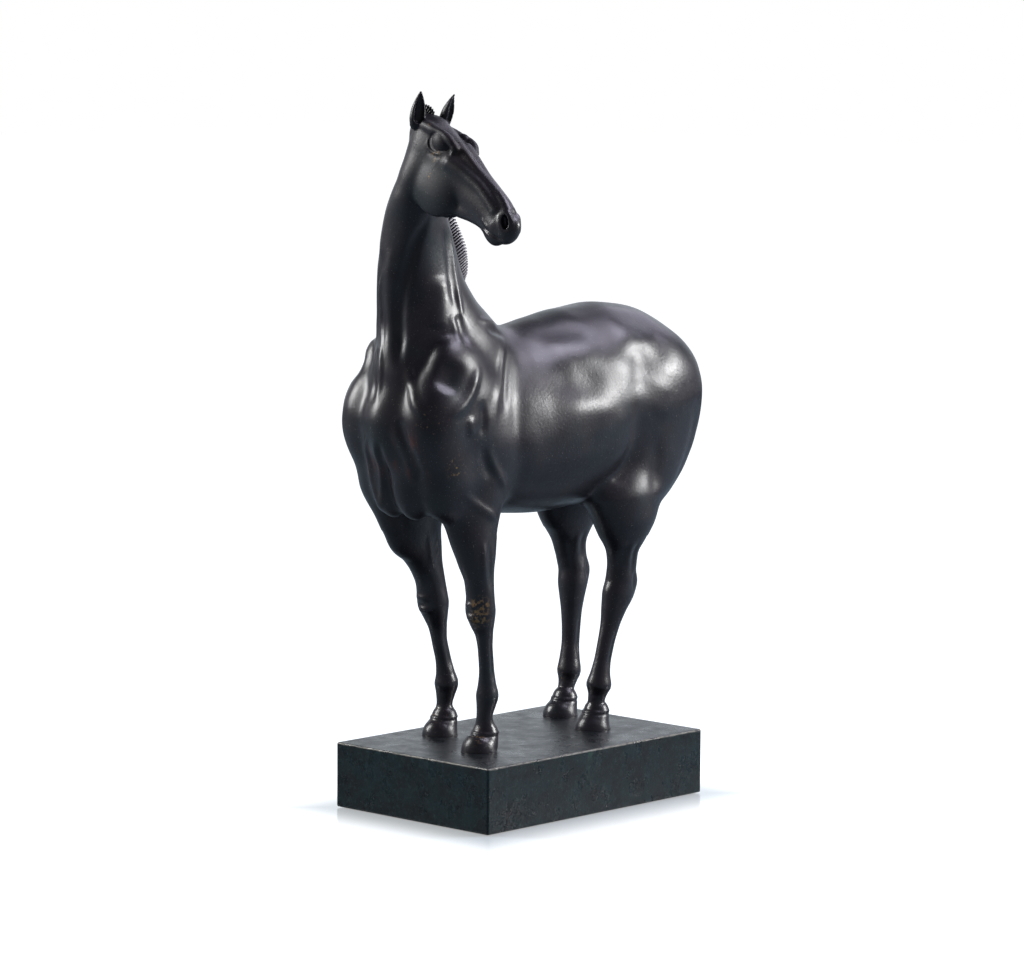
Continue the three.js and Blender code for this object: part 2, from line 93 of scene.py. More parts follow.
def out_of_oval(side, up, past, width, depth, cap):
    """The distance from an oval tube's skin, which a cap closes past its end."""
    level = np.sqrt((side / width) ** 2 + (up / depth) ** 2 + (past / cap) ** 2)
    steep = np.sqrt((side / width ** 2) ** 2 + (up / depth ** 2) ** 2 + (past / cap ** 2) ** 2)
    return (level - 1) * level / (steep + 1e-6)


class Clay:
    """A box of space in which forms are pressed together. Lengths are in millimetres."""

    FAR = 40.0                               # the distance that an empty grid holds
    STROKE_REACH = 2.6                       # in stroke widths; beyond it nothing of a stroke is left

    def __init__(self, low, high, cell):
        self.low, self.cell = np.array(low, float), cell
        size = (np.ceil((np.array(high, float) - self.low) / cell) + 1).astype(int)
        self.skin = np.full(size, self.FAR, np.float32)

    def window(self, low, high):
        """The part of the grid between two corners: its slices and its x, y and z."""
        size = np.array(self.skin.shape)
        a = np.clip(np.floor((np.array(low) - self.low) / self.cell).astype(int), 0, size)
        b = np.clip(np.ceil((np.array(high) - self.low) / self.cell).astype(int) + 1, 0, size)
        b = np.maximum(a, b)
        x, y, z = [(self.low[k] + self.cell * np.arange(a[k], b[k])).astype(np.float32) for k in range(3)]
        slices = tuple(slice(i, j) for i, j in zip(a, b))
        return slices, x[:, None, None], y[None, :, None], z[None, None, :]

    def press(self, slices, distance, softness, carve=False):
        """Adds a form to the clay, or carves it away."""
        here = self.skin[slices]
        sign = -1 if carve else 1
        self.skin[slices] = sign * soft_min(sign * here, distance, softness)

    def mass(self, centre, radii, softness, axes=None, carve=False):
        """An ellipsoid; the rows of axes are its own directions."""
        centre, radii = np.array(centre, float), np.array(radii, float)
        axes = np.eye(3) if axes is None else np.asarray(axes, float)
        reach = np.sqrt(((axes * radii[:, None]) ** 2).sum(0)) + softness + 4
        slices, x, y, z = self.window(centre - reach, centre + reach)
        x, y, z = x - centre[0], y - centre[1], z - centre[2]
        level, steep = 0, 0
        for axis, radius in zip(axes, radii):
            along = x * axis[0] + y * axis[1] + z * axis[2]
            level = level + (along / radius) ** 2
            steep = steep + (along / radius ** 2) ** 2
        level = np.sqrt(level)
        distance = (level - 1) * level / (np.sqrt(steep) + 1e-6)
        self.press(slices, distance.astype(np.float32), softness, carve)

    def limb(self, stations, softness, step=4.0, carve=False):
        """A tube of oval section. Each station is [x, y, z], its up direction, and the
        section's half width, reach towards up, reach away from it, and lean, which narrows
        the side towards up."""
        points, ups, sections = (np.array([s[k] for s in stations], float) for k in range(3))
        knots = np.concatenate([[0], np.cumsum(np.linalg.norm(np.diff(points, axis=0), axis=1))])
        at = np.linspace(0, knots[-1], max(2, int(np.ceil(knots[-1] / step)) + 1))
        points, ups, sections = (curve_through(knots, v, at) for v in (points, ups, sections))
        tangent = unit(np.gradient(points, axis=0))
        ups = unit(ups - (ups * tangent).sum(1, keepdims=True) * tangent)
        sides = np.cross(ups, tangent)
        reach = (np.maximum(sections[:-1, :3].max(1), sections[1:, :3].max(1)) + softness + 4)[:, None]
        lows = np.minimum(points[:-1], points[1:]) - reach
        highs = np.maximum(points[:-1], points[1:]) + reach
        whole, *_ = self.window(lows.min(0), highs.max(0))
        nearest = np.full(self.skin[whole].shape, 1e3, np.float32)
        corner = [s.start for s in whole]
        last = len(points) - 2
        for i in range(last + 1):
            start, way = points[i], points[i + 1] - points[i]
            part, x, y, z = self.window(lows[i], highs[i])
            if 0 in self.skin[part].shape:
                continue
            x, y, z = x - start[0], y - start[1], z - start[2]
            before = x * tangent[i, 0] + y * tangent[i, 1] + z * tangent[i, 2]
            after = ((x - way[0]) * tangent[i + 1, 0] + (y - way[1]) * tangent[i + 1, 1]
                     + (z - way[2]) * tangent[i + 1, 2])
            here = ((before >= 0) | (i == 0)) & ((after <= 0) | (i == last))
            inside = np.clip(before / np.maximum(before - after, 1e-4), 0, 1)
            past = 0
            if i == 0:
                past = past + np.minimum(before, 0)
            if i == last:
                past = past + np.maximum(after, 0)
            x, y, z = x - inside * way[0], y - inside * way[1], z - inside * way[2]
            side, up = (sum(c * (ways[i, k] + inside * (ways[i + 1, k] - ways[i, k]))
                            for k, c in enumerate((x, y, z))) for ways in (sides, ups))
            width, front, back, lean = (sections[i, k] + inside * (sections[i + 1, k] - sections[i, k])
                                        for k in range(4))
            depth = np.where(up > 0, front, back)
            width = width * np.clip(1 - lean * up / depth, 0.4, 1.6)
            local = tuple(slice(s.start - c, s.stop - c) for s, c in zip(part, corner))
            distance = out_of_oval(side, up, past, width, depth, np.minimum(width, depth))
            distance = np.where(here, distance, 1e3)
            np.minimum(nearest[local], distance, out=nearest[local])
        self.press(whole, nearest, softness, carve)

    def sample(self, points):
        """The distance at each point, by trilinear interpolation."""
        g = (np.asarray(points, float) - self.low) / self.cell
        g = np.clip(g, 0, np.array(self.skin.shape) - 1.001)
        i = g.astype(int)
        f = g - i
        total = 0
        for dx in (0, 1):
            for dy in (0, 1):
                for dz in (0, 1):
                    weight = np.abs(1 - dx - f[:, 0]) * np.abs(1 - dy - f[:, 1]) * np.abs(1 - dz - f[:, 2])
                    total = total + weight * self.skin[i[:, 0] + dx, i[:, 1] + dy, i[:, 2] + dz]
        return total

    def outward(self, points, reach=1.0):
        """The skin's outward direction at each point."""
        points = np.asarray(points, float)
        steps = np.eye(3) * reach
        return unit(np.stack([self.sample(points + e) - self.sample(points - e) for e in steps], 1))

    def settle(self, points):
        """Points moved onto the skin."""
        points = np.array(points, float)
        for _ in range(4):
            points -= np.clip(self.sample(points), -3, 3)[:, None] * self.outward(points)
        return points

    def stroke(self, points, height, width, ends=0.35, guide=None):
        """Raises the skin along a line drawn on it, or cuts it where height is negative. ends is
        the part of the line at each end over which the stroke dies away. guide is the clay whose
        skin the line lies on, where this one holds only a part of it."""
        points = np.array(points, float)
        knots = np.concatenate([[0], np.cumsum(np.linalg.norm(np.diff(points, axis=0), axis=1))])
        at = np.linspace(0, knots[-1], max(3, int(knots[-1] / 3) + 1))
        points = (guide or self).settle(curve_through(knots, points, at))
        margin = width * self.STROKE_REACH
        slices, x, y, z = self.window(points.min(0) - margin, points.max(0) + margin)
        if 0 in self.skin[slices].shape:
            return
        nearest = np.full(self.skin[slices].shape, 1e6, np.float32)
        place = np.zeros_like(nearest)
        corner = [s.start for s in slices]
        for i in range(len(points) - 1):
            a, b = points[i], points[i + 1]
            part, x, y, z = self.window(np.minimum(a, b) - margin, np.maximum(a, b) + margin)
            if 0 in self.skin[part].shape:
                continue
            local = tuple(slice(s.start - c, s.stop - c) for s, c in zip(part, corner))
            way = b - a
            x, y, z = x - a[0], y - a[1], z - a[2]
            t = np.clip((x * way[0] + y * way[1] + z * way[2]) / max(way @ way, 1e-6), 0, 1)
            d = (x - t * way[0]) ** 2 + (y - t * way[1]) ** 2 + (z - t * way[2]) ** 2
            closer = d < nearest[local]
            place[local] = np.where(closer, (i + t) / (len(points) - 1), place[local])
            nearest[local] = np.where(closer, d, nearest[local])
        fade = np.clip(np.minimum(place, 1 - place) / max(ends, 1e-6), 0, 1)
        fade = fade * fade * (3 - 2 * fade)
        self.skin[slices] -= height * fade * np.exp(-nearest / width ** 2)

    def mesh(self):
        """The skin as vertices and outward-facing quads (surface nets)."""
        inside = self.skin < 0
        count = np.zeros(tuple(n - 1 for n in self.skin.shape), np.uint8)
        corners = [(i, j, k) for i in (0, 1) for j in (0, 1) for k in (0, 1)]
        for i, j, k in corners:
            count += inside[i:inside.shape[0] - 1 + i, j:inside.shape[1] - 1 + j, k:inside.shape[2] - 1 + k]
        cells = np.argwhere((count > 0) & (count < 8))
        number = np.full(count.shape, -1, np.int32)
        number[tuple(cells.T)] = np.arange(len(cells))
        value = np.stack([self.skin[tuple((cells + c).T)] for c in corners], 1)
        place = np.array(corners, float)
        total, crossings = np.zeros((len(cells), 3)), np.zeros(len(cells))
        for a in range(8):
            for b in range(a + 1, 8):
                if np.abs(place[a] - place[b]).sum() != 1:
                    continue
                crosses = (value[:, a] < 0) != (value[:, b] < 0)
                t = np.where(crosses, value[:, a] / np.where(crosses, value[:, a] - value[:, b], 1), 0)
                total += (place[a] + t[:, None] * (place[b] - place[a])) * crosses[:, None]
                crossings += crosses
        vertices = (cells + total / crossings[:, None]) * self.cell + self.low
        quads = []
        for axis in range(3):
            u, v = [k for k in range(3) if k != axis]
            low = [slice(None)] * 3
            high = [slice(None)] * 3
            low[axis], high[axis] = slice(0, -1), slice(1, None)
            for cut in (low, high):
                cut[u] = cut[v] = slice(1, -1)
            edge = np.argwhere(inside[tuple(low)] != inside[tuple(high)])
            outward = inside[tuple(low)][tuple(edge.T)]
            edge[:, u] += 1
            edge[:, v] += 1
            ring = []
            for du, dv in ((1, 1), (0, 1), (0, 0), (1, 0)):
                near = edge.copy()
                near[:, u] -= du
                near[:, v] -= dv
                ring.append(number[tuple(near.T)])
            ring = np.stack(ring, 1)
            keep = outward if axis != 1 else ~outward
            quads.append(np.where(keep[:, None], ring, ring[:, ::-1]))
        return vertices, np.concatenate(quads)


# ---------------------------------------------------------------- the horse: tables in millimetres
# x is forward, y is to the horse's left, z is above the plinth's top.
MID = -9.0                                   # y of the horse's middle plane
FORWARD = (1, 0, 0)

# x, z of the middle, half width, reach up, reach down, lean
TRUNK = [
    (103, 208, 22, 26, 30, 0.0),
    (88, 206, 35, 42, 44, 0.0),
    (66, 203, 41.5, 53, 48, 0.12),
    (40, 203, 44, 58, 55, 0.22),
    (14, 204, 47, 58, 60, 0.20),
    (-14, 204, 50, 62, 62, 0.12),
    (-42, 205, 51, 65, 61, 0.06),
    (-66, 208, 49, 64.5, 57, 0.0),
    (-90, 212, 46, 59.5, 50, -0.02),
    (-112, 215, 41, 52, 42, -0.02),
    (-131, 215, 34, 43, 34, 0.0),
    (-145, 209, 20, 28, 23, 0.0),
]

# centre with y from the middle plane, radii, tilt about y (top leaning back below zero), softness
MASSES = {
    "point of the shoulder": ((98, 26, 208), (21, 19, 32), 0, 14),
    "shoulder blade": ((75, 29, 217), (25, 15, 44), -22, 14),
    "upper arm": ((86, 26, 180), (22, 16, 33), 0, 12),
    "back of the upper arm": ((58, 25, 176), (22, 16, 30), 0, 12),
    "breast": ((96, 9, 183), (18, 15, 36), 0, 12),
    "root of the neck": ((95, 5, 226), (18, 16, 31), -22, 12),
    "croup": ((-106, 26, 211), (40, 23, 43), 0, 16),
    "thigh": ((-98, 28, 178), (33, 18, 38), 24, 14),
    "stifle": ((-73, 28, 155), (19, 13, 31), 0, 16),
    "buttock": ((-121, 19, 191), (24, 17, 36), 0, 14),
}

# x, y, z, the crest's azimuth and tilt, half width, reach to the crest, reach to the throat, lean
NECK = [
    (50, -9, 222, 180, 62, 32, 44, 44, 0.10),
    (62, -9, 248, 180, 46, 32, 41, 47, 0.12),
    (72, -9.5, 268, 182, 32, 28, 34, 42, 0.15),
    (80, -9.5, 285, 176, 24, 24, 30, 33.5, 0.20),
    (87, -8, 302, 172, 18, 20.5, 29, 27, 0.22),
    (93, -5, 319, 173, 13, 18, 26.5, 22, 0.20),
    (98, -0.5, 336, 183, 8, 16, 23.5, 18.5, 0.15),
    (101, 5, 352, 205, 4, 14, 19.5, 17.5, 0.10),
    (103, 10, 365, 230, -4, 12.5, 17, 16, 0.05),
    (103, 14, 378, 255, -16, 10.8, 13, 15, 0.0),
    (101, 17, 388, 262, -30, 9, 9, 13, 0.0),
]

# x, y, z, half width, reach forward, reach back
LEGS = {
    "foreleg_left": [
        (62, 14, 170, 14, 24, 22), (64, 16, 152, 14, 22, 21), (65, 19, 136, 12.5, 18, 17.5),
        (64.5, 21.5, 121, 10.5, 13.5, 13.5), (63, 22.5, 108, 8.8, 9.8, 9.8), (62, 22.5, 99, 8.8, 9.2, 9.0),
        (61, 22, 89.5, 9.6, 9.6, 9.2), (59.5, 22, 81, 7.8, 7.6, 7.8), (58, 22, 74, 5.4, 5.6, 6.4),
        (56.5, 21.7, 64, 4.3, 4.9, 5.4), (55, 21.3, 52, 4.3, 4.8, 5.6), (54, 20.8, 42, 5.4, 5.6, 6.6),
        (53.6, 20.5, 34.5, 6.9, 6.6, 8.2), (54.2, 20.2, 28, 5.9, 5.6, 6.6), (55, 20, 21.5, 5.1, 4.9, 5.2),
        (54.2, 19.7, 15, 6.6, 6.4, 6.4), (53.6, 19.5, 10, 8.4, 8.2, 8.2)],
    "foreleg_right": [
        (60, -33, 170, 14, 34, 22), (59.5, -35, 152, 14, 34, 22), (57, -37, 136, 12.5, 26, 18),
        (50, -39.5, 121, 11, 16, 14), (44.8, -40, 108, 9.6, 11.2, 10.4), (42, -40, 99, 9.3, 9.8, 9.6),
        (39.5, -40, 86, 10.2, 10.2, 9.8), (37.3, -40, 77, 8.0, 7.8, 8.0), (35.5, -40, 69, 5.6, 5.8, 6.6),
        (34, -39.8, 60, 4.7, 5.0, 5.6), (31.5, -39.5, 50, 4.6, 4.9, 5.8), (29.5, -39.2, 40, 5.6, 5.8, 6.8),
        (28.6, -39, 32.5, 7.4, 7.4, 8.6), (29.2, -39, 26, 6.1, 5.9, 6.8), (29.9, -39, 19.5, 5.1, 5, 5.2),
        (30, -38.8, 13.5, 7, 6.8, 6.8), (30.2, -38.6, 9.5, 8.4, 8.2, 8.2)],
    "hindleg_left": [
        (-72, 21, 150, 17, 28, 30), (-73, 21.5, 136, 16.4, 23.5, 23.5), (-73, 21, 124, 13, 18, 17),
        (-72.5, 20.5, 113, 9.2, 11.5, 11.5), (-72, 20, 103, 8.6, 9.6, 11.5), (-71.5, 19.5, 95, 9, 9.6, 13),
        (-70, 19, 87, 9.2, 10.5, 12), (-67, 18.5, 77, 7.8, 8.6, 8.6), (-64, 18, 66, 5.9, 6.6, 6.6),
        (-61, 17.7, 56, 5.1, 5.9, 6.2), (-58.5, 17.3, 46, 5.0, 5.6, 6.2), (-56.5, 16.8, 36, 6.1, 6.4, 7.2),
        (-55.5, 16.3, 28, 8, 8, 9), (-54.6, 16, 22, 6, 5.6, 6.4), (-54, 15.8, 17, 5.4, 5.4, 5.4),
        (-54.2, 15.6, 12, 7.2, 7.2, 7.2), (-54.6, 15.5, 9.5, 8.3, 8.2, 8.2)],
    "hindleg_right": [
        (-90, -39, 150, 17, 28, 30), (-89, -39.5, 136, 16.4, 23.5, 23.5), (-87.5, -39, 124, 13.2, 18, 17),
        (-87, -38.5, 113, 10, 12.4, 12.2), (-88, -38, 103, 9, 10.4, 11.5), (-89, -37.5, 95, 9, 9.8, 12.5),
        (-88.5, -37, 87, 9.2, 10.2, 11), (-87.6, -36.5, 77, 8, 8.8, 8.6), (-86.8, -36.2, 67, 6.6, 7.2, 7.2),
        (-86, -35.8, 57, 5.8, 6.4, 6.8), (-85, -35.4, 47, 5.5, 6.0, 6.6), (-83.6, -34.8, 37, 6.4, 6.6, 7.4),
        (-82.3, -34.2, 28.5, 7.7, 7.6, 8.6), (-80.8, -34, 22, 5.9, 5.7, 6.4),
        (-79.4, -33.8, 17, 5.3, 5.3, 5.3),
        (-78.4, -33.5, 12, 7.2, 7.2, 7.2), (-77.8, -33.3, 9.5, 8.4, 8.3, 8.3)],
}
# x and y of the middle of each hoof's sole
HOOVES = {"foreleg_left": (59.2, 19.5), "foreleg_right": (34.6, -38.6),
          "hindleg_left": (-50.8, 15.5), "hindleg_right": (-73.3, -33.3)}

# The head's own frame: forward runs down the face, top out of the face, right to the horse's right.
POLL = np.array([100.5, 18, 394.6])
TURN, NOD, ROLL = np.radians([86, 38, 9])
FACE = np.array([np.cos(TURN) * np.cos(NOD), np.sin(TURN) * np.cos(NOD), -np.sin(NOD)])
LEVEL = np.array([np.sin(TURN), -np.cos(TURN), 0])
RIGHT = LEVEL * np.cos(ROLL) + np.cross(LEVEL, FACE) * np.sin(ROLL)
TOP = np.cross(LEVEL, FACE) * np.cos(ROLL) - LEVEL * np.sin(ROLL)

# along the face, out of the face, half width, reach out, reach in, lean
SKULL = [
    (-3, -9, 8, 9, 12, 0), (7, -8, 11, 12, 16, 0), (18, -8, 12.2, 12.6, 18, 0), (28, -8, 12.2, 13, 17, 0),
    (38, -8, 10.6, 12.6, 15, 0), (47, -8.5, 9.4, 12, 13.5, 0), (58, -9, 8.6, 12, 12.5, 0),
    (69, -9.5, 8, 12.2, 11, 0), (79, -10, 7.4, 12.2, 9.5, 0), (85, -10, 7, 11.6, 8.5, 0),
]
BROW = [(2, -3, 8.5, 2.4), (8, -0.4, 9.8, 2.8), (14, 1.2, 10.2, 3), (20, 3, 10.3, 3), (27, 4.6, 9.8, 2.4),
        (32, 3.6, 8.6, 1.6)]
LEFT_BROW_AHEAD = 2.5                        # the two brows don't match
NASAL_RIDGE = [(30, 4, 3.6, 2.2), (39, 3.4, 3.6, 2.2), (47, 2.7, 3, 2.2), (58, 2.4, 1.8, 2.2),
               (69, 2.4, 1.5, 2.2), (78, 2, 1.5, 2.2), (85, 0.6, 2, 2)]
CHEEKBONE = [(36, -5, 9, 3.4), (50, -3, 6.6, 3.2), (63, -1.8, 5.6, 3), (72, -2.8, 5, 3), (80, -4, 4.6, 2.8)]
JAW = [(40, -26, 6.5, 7, 8, 0), (54, -23, 5.4, 7, 6.4, 0), (66, -19.5, 4.8, 6, 4.6, 0),
       (76, -17.5, 4.4, 5.2, 4, 0), (84, -17.5, 4.6, 5, 4.6, 0), (89, -17, 4.2, 4, 4.6, 0)]


def on_head(forward, top, right=0.0):
    """A place given in the head's own frame."""
    return POLL + forward * FACE + top * TOP + right * RIGHT


RUMP_CAP, CHEST_CAP = 0.35, 1                # how far the trunk's ends bulge; the rump ends flatter


def press_trunk(clay):
    stations = np.array(TRUNK, float)[::-1]
    slices, x, y, z = clay.window((stations[0, 0] - 60, -120, 80), (stations[-1, 0] + 60, 100, 345))
    if 0 in clay.skin[slices].shape:
        return
    inside = np.clip(x[:, 0, 0], stations[0, 0], stations[-1, 0])
    sections = curve_through(stations[:, 0], stations[:, 1:], inside).astype(np.float32)
    middle, width, rise, drop, lean = (column[:, None, None] for column in sections.T)
    past = x - inside[:, None, None]
    side, up = y - MID, z - middle
    depth = np.where(up > 0, rise, drop)
    width = width * np.clip(1 - lean * up / depth, 0.4, 1.6)
    cap = np.minimum(width, depth) * np.where(past < 0, RUMP_CAP, CHEST_CAP)
    clay.press(slices, out_of_oval(side, up, past, width, depth, cap).astype(np.float32), 0)
    for centre, radii, tilt, softness in MASSES.values():
        for side in (1, -1):
            x0, y0, z0 = centre
            clay.mass((x0, MID + side * y0, z0), radii, softness, turned((0, 1, 0), tilt).T)


def press_legs(clay):
    for name, table in LEGS.items():
        stations = [[row[:3], FORWARD, [*row[3:], 0]] for row in table]
        clay.limb(stations, 12 if name.startswith("fore") else 18, 2.5)
        x, y = HOOVES[name]
        top = table[-1][0]
        rings = [((top, y, 11), (8.2, 8.2, 8.2, 0)), ((top + 1.6, y, 6), (9.6, 10, 9.6, 0)),
                 ((x - 1, y, 0.5), (11.3, 12.6, 11.5, 0)), ((x - 1, y, -3), (11.6, 12.8, 11.8, 0))]
        clay.limb([[place, FORWARD, section] for place, section in rings], 1.0, 1.5)


def pointing(azimuth, tilt):
    """The direction at an azimuth and a tilt above the level, in degrees."""
    a, t = np.radians([azimuth, tilt])
    return np.array([np.cos(a) * np.cos(t), np.sin(a) * np.cos(t), np.sin(t)])


def press_neck(clay):
    clay.limb([[row[:3], pointing(*row[3:5]), row[5:]] for row in NECK], 18, 3)


def head_mass(clay, centre, radii, softness, axes=None, carve=False):
    """An ellipsoid on each side of the head, in the head's own frame."""
    for side in (1, -1):
        f, t, r = centre
        rows = np.eye(3) if axes is None else np.asarray(axes, float)
        own_ways = unit(rows * (1, 1, side)) @ np.array([FACE, TOP, RIGHT])
        clay.mass(on_head(f, t, r * side), radii, softness, own_ways, carve)


def head_stroke(clay, points, height, width, ends=0.35):
    """A stroke on each side of the head."""
    for side in (1, -1):
        clay.stroke([on_head(f, t, r * side) for f, t, r in points], height, width, ends)


def head_limb(clay, table, softness):
    """A round bar on each side of the head: along the face, out of it, out from the middle, radius."""
    for side in (1, -1):
        ahead = LEFT_BROW_AHEAD if table is BROW and side < 0 else 0
        clay.limb([[on_head(f + ahead, t, r * side), TOP, (radius, radius, radius, 0)]
                   for f, t, r, radius in table], softness, 2)


def press_head(clay):
    for table, softness in ((SKULL, 6), (JAW, 4)):
        clay.limb([[on_head(f, t), TOP, section] for f, t, *section in table], softness, 3)
    clay.mass(on_head(86.5, -9.5), (9.4, 11, 6.4), 4, [FACE, TOP, RIGHT])
    clay.mass(on_head(93, -8), (7.2, 9, 5.8), 3, [FACE, TOP, RIGHT])       # lips and tip of the nose
    clay.mass(on_head(87, -17.5), (6, 4.6, 4.6), 4, [FACE, TOP, RIGHT])
    head_mass(clay, (33, -23.5, 4.5), (21.5, 18.5, 8), 4)                  # cheek
    for table, softness in ((BROW, 5), (NASAL_RIDGE, 4), (CHEEKBONE, 5)):
        head_limb(clay, table, softness)
    head_mass(clay, (89.5, -4.4, 3.6), (5.6, 5.8, 3.0), 3)                 # wing of the nostril
    slant = [(0.82, -0.55, -0.15), (0.5, 0.66, -0.55), (0.4, 0.38, 0.83)]
    head_mass(clay, (92, -3, 6.6), (5.0, 2.6, 4.6), 0.8, slant, carve=True)    # nostril
    head_mass(clay, (20.5, -1.2, 15), (8.6, 7.8, 3.2), 3.0, carve=True)    # eye socket
    head_mass(clay, (21.2, -0.6, 9.2), (7.2, 6.6, 4.4), 0.3)               # eye
    for side in (1, -1):
        press_ear(clay, side)


# Lines on each side of the head
LOWER_LID = [(13, -4, 13), (15.5, -7.5, 13.5), (20, -8.4, 14), (25, -6.4, 14), (29.5, -3.4, 13)]
UNDER_LID = [(14, -8.5, 13), (19, -11, 14), (25.5, -9, 14), (32, -5.5, 13)]
MOUTH = [(80, -16.6, 5), (87, -15.8, 6), (94, -14.4, 5), (98, -12.5, 2.5)]
MOUTH_FOLD = [(76, -12.5, 6), (80.5, -14.2, 6), (86, -13.6, 7)]
NOSTRIL_RIM = [(87, -0.5, 6), (86.3, -3.5, 6.4), (89.5, -7, 6), (95, -8.8, 4.8), (98, -5.5, 3.8),
               (96, -1, 3.6), (91, 2, 4.4), (87.5, 1, 5.5)]
CANTHUS = [(31, 4.5, 11), (33, 1.5, 11), (34.5, -1.5, 10.5)]           # ridge at the eye's front corner
EYE_EDGE = [(17, 3, 12), (14.2, -1, 12), (15.2, -5.5, 12), (19, -7.6, 12), (24, -6.6, 12), (28, -3, 12)]


def work_head(clay):
    head_stroke(clay, LOWER_LID, 0.55, 0.9, 0.2)
    head_stroke(clay, UNDER_LID, -0.5, 1.2)
    head_stroke(clay, MOUTH, -1.2, 0.9, 0.2)
    head_stroke(clay, MOUTH_FOLD, 0.7, 1.0)
    head_stroke(clay, NOSTRIL_RIM, 0.5, 0.8, 0.1)
    head_stroke(clay, CANTHUS, 0.8, 0.9, 0.3)
    head_stroke(clay, EYE_EDGE, -0.6, 0.7, 0.2)


# An ear: part of its length up from the base, half width, hollow's half width
EAR = [(0, 4.2, 0), (0.18, 4.7, 3.4), (0.42, 4.4, 3.5), (0.68, 3.3, 2.6), (0.88, 1.8, 1.2), (1, 0.6, 0)]
# On the right and on the left: its base and its tip on the head, and the way its hollow faces
EARS = {1: ((-1.5, -6, 10), (-12.5, 10.2, 10), (0.41, 0.91, 0.1)),
        -1: ((0.5, -2, 10.5), (-7, 15.8, 11.5), (-0.3, 0.94, 0.1))}


def press_ear(clay, side):
    base, tip, opening = EARS[side]
    opening = unit(opening)
    base, tip = (on_head(f, t, r * side) for f, t, r in (base, tip))
    at = [(base + (tip - base) * part, wide, hollow) for part, wide, hollow in EAR]
    clay.limb([[point, opening, (wide, wide * 0.7, wide * 0.9, 0)] for point, wide, hollow in at], 1.5, 1.5)
    clay.limb([[point + opening * wide * 0.62, opening, (hollow, hollow, hollow * 1.1, 0)]
               for point, wide, hollow in at[1:-1]], 0.5, 1.5, carve=True)


# The hogged mane: a station of NECK, how far it stands above the crest, half its thickness
MANE = [(2.3, 0.5, 0.8), (2.42, 5, 1.6), (2.7, 8.5, 2.2), (3.2, 10.5, 2.4), (3.9, 10.5, 2.4),
        (4.6, 9.5, 2.4), (5.6, 8, 2.3), (7, 6.5, 2.2), (8, 5.5, 2.2), (9, 5, 2.1)]
# It runs on over the poll: a place on the head, the way it stands there, how far, half its thickness
FORELOCK = [((-11, -3), (-0.8, 0.6), 5.5, 2.1), ((-7, -1.5), (-0.5, 0.86), 6, 2.0),
            ((-3, -1), (-0.2, 0.98), 5.0, 1.6), ((-1, -1), (0, 1), 2.0, 0.8)]


def crest_point(station):
    """A point on the neck's crest, and the way out of the crest there."""
    rows = np.array(NECK, float)
    x, y, z, azimuth, tilt, _, reach, *_ = curve_through(np.arange(len(rows)), rows, np.array([station]))[0]
    out = pointing(azimuth, tilt)
    return np.array([x, y, z]) + out * reach, out


# The docked tail, top to tip: x, z, half width, reach behind, reach ahead
TAIL = [(-122, 240, 5, 5, 5), (-132, 239, 6.2, 5.8, 6), (-141, 235, 6.8, 5.8, 6.2), (-148.4, 224, 7, 5.8, 6),
        (-152.3, 207, 6.4, 4.8, 5), (-151.3, 190, 4.8, 3.8, 4), (-149, 180.5, 2.4, 2, 2)]
# Grooves between its locks: turn about the tail in degrees, depth
TAIL_LOCKS = [(-160, 0.7), (-128, 1.1), (-97, 0.8), (-70, 1.1), (-44, 0.8), (-17, 1.1), (14, 0.9),
              (43, 1.1), (72, 0.8), (101, 1.1), (133, 0.8)]
LOCK_SWAY = 1.2


def press_tail(clay):
    """The tail hangs close behind the thighs, its hair combed down in shallow locks."""
    rows = np.array(TAIL, float)
    spine = np.stack([rows[:, 0], np.full(len(rows), MID), rows[:, 1]], 1)
    way = unit(np.gradient(spine, axis=0))
    back = unit(np.array([-1, 0, 0]) + way[:, :1] * way)
    clay.limb([[point, out, (half, behind, ahead, 0)]
               for point, out, (half, behind, ahead) in zip(spine, back, rows[:, 2:])], 1, 3)
    for degrees, depth in TAIL_LOCKS:
        turn = math.radians(degrees)
        sway = LOCK_SWAY * np.sin(rows[:, 1] / 9 + degrees)
        line = spine + back * (rows[:, 3] * math.cos(turn))[:, None]
        line[:, 1] += rows[:, 2] * math.sin(turn) + sway
        clay.stroke(line[2:], -depth, 1.2, 0.12)


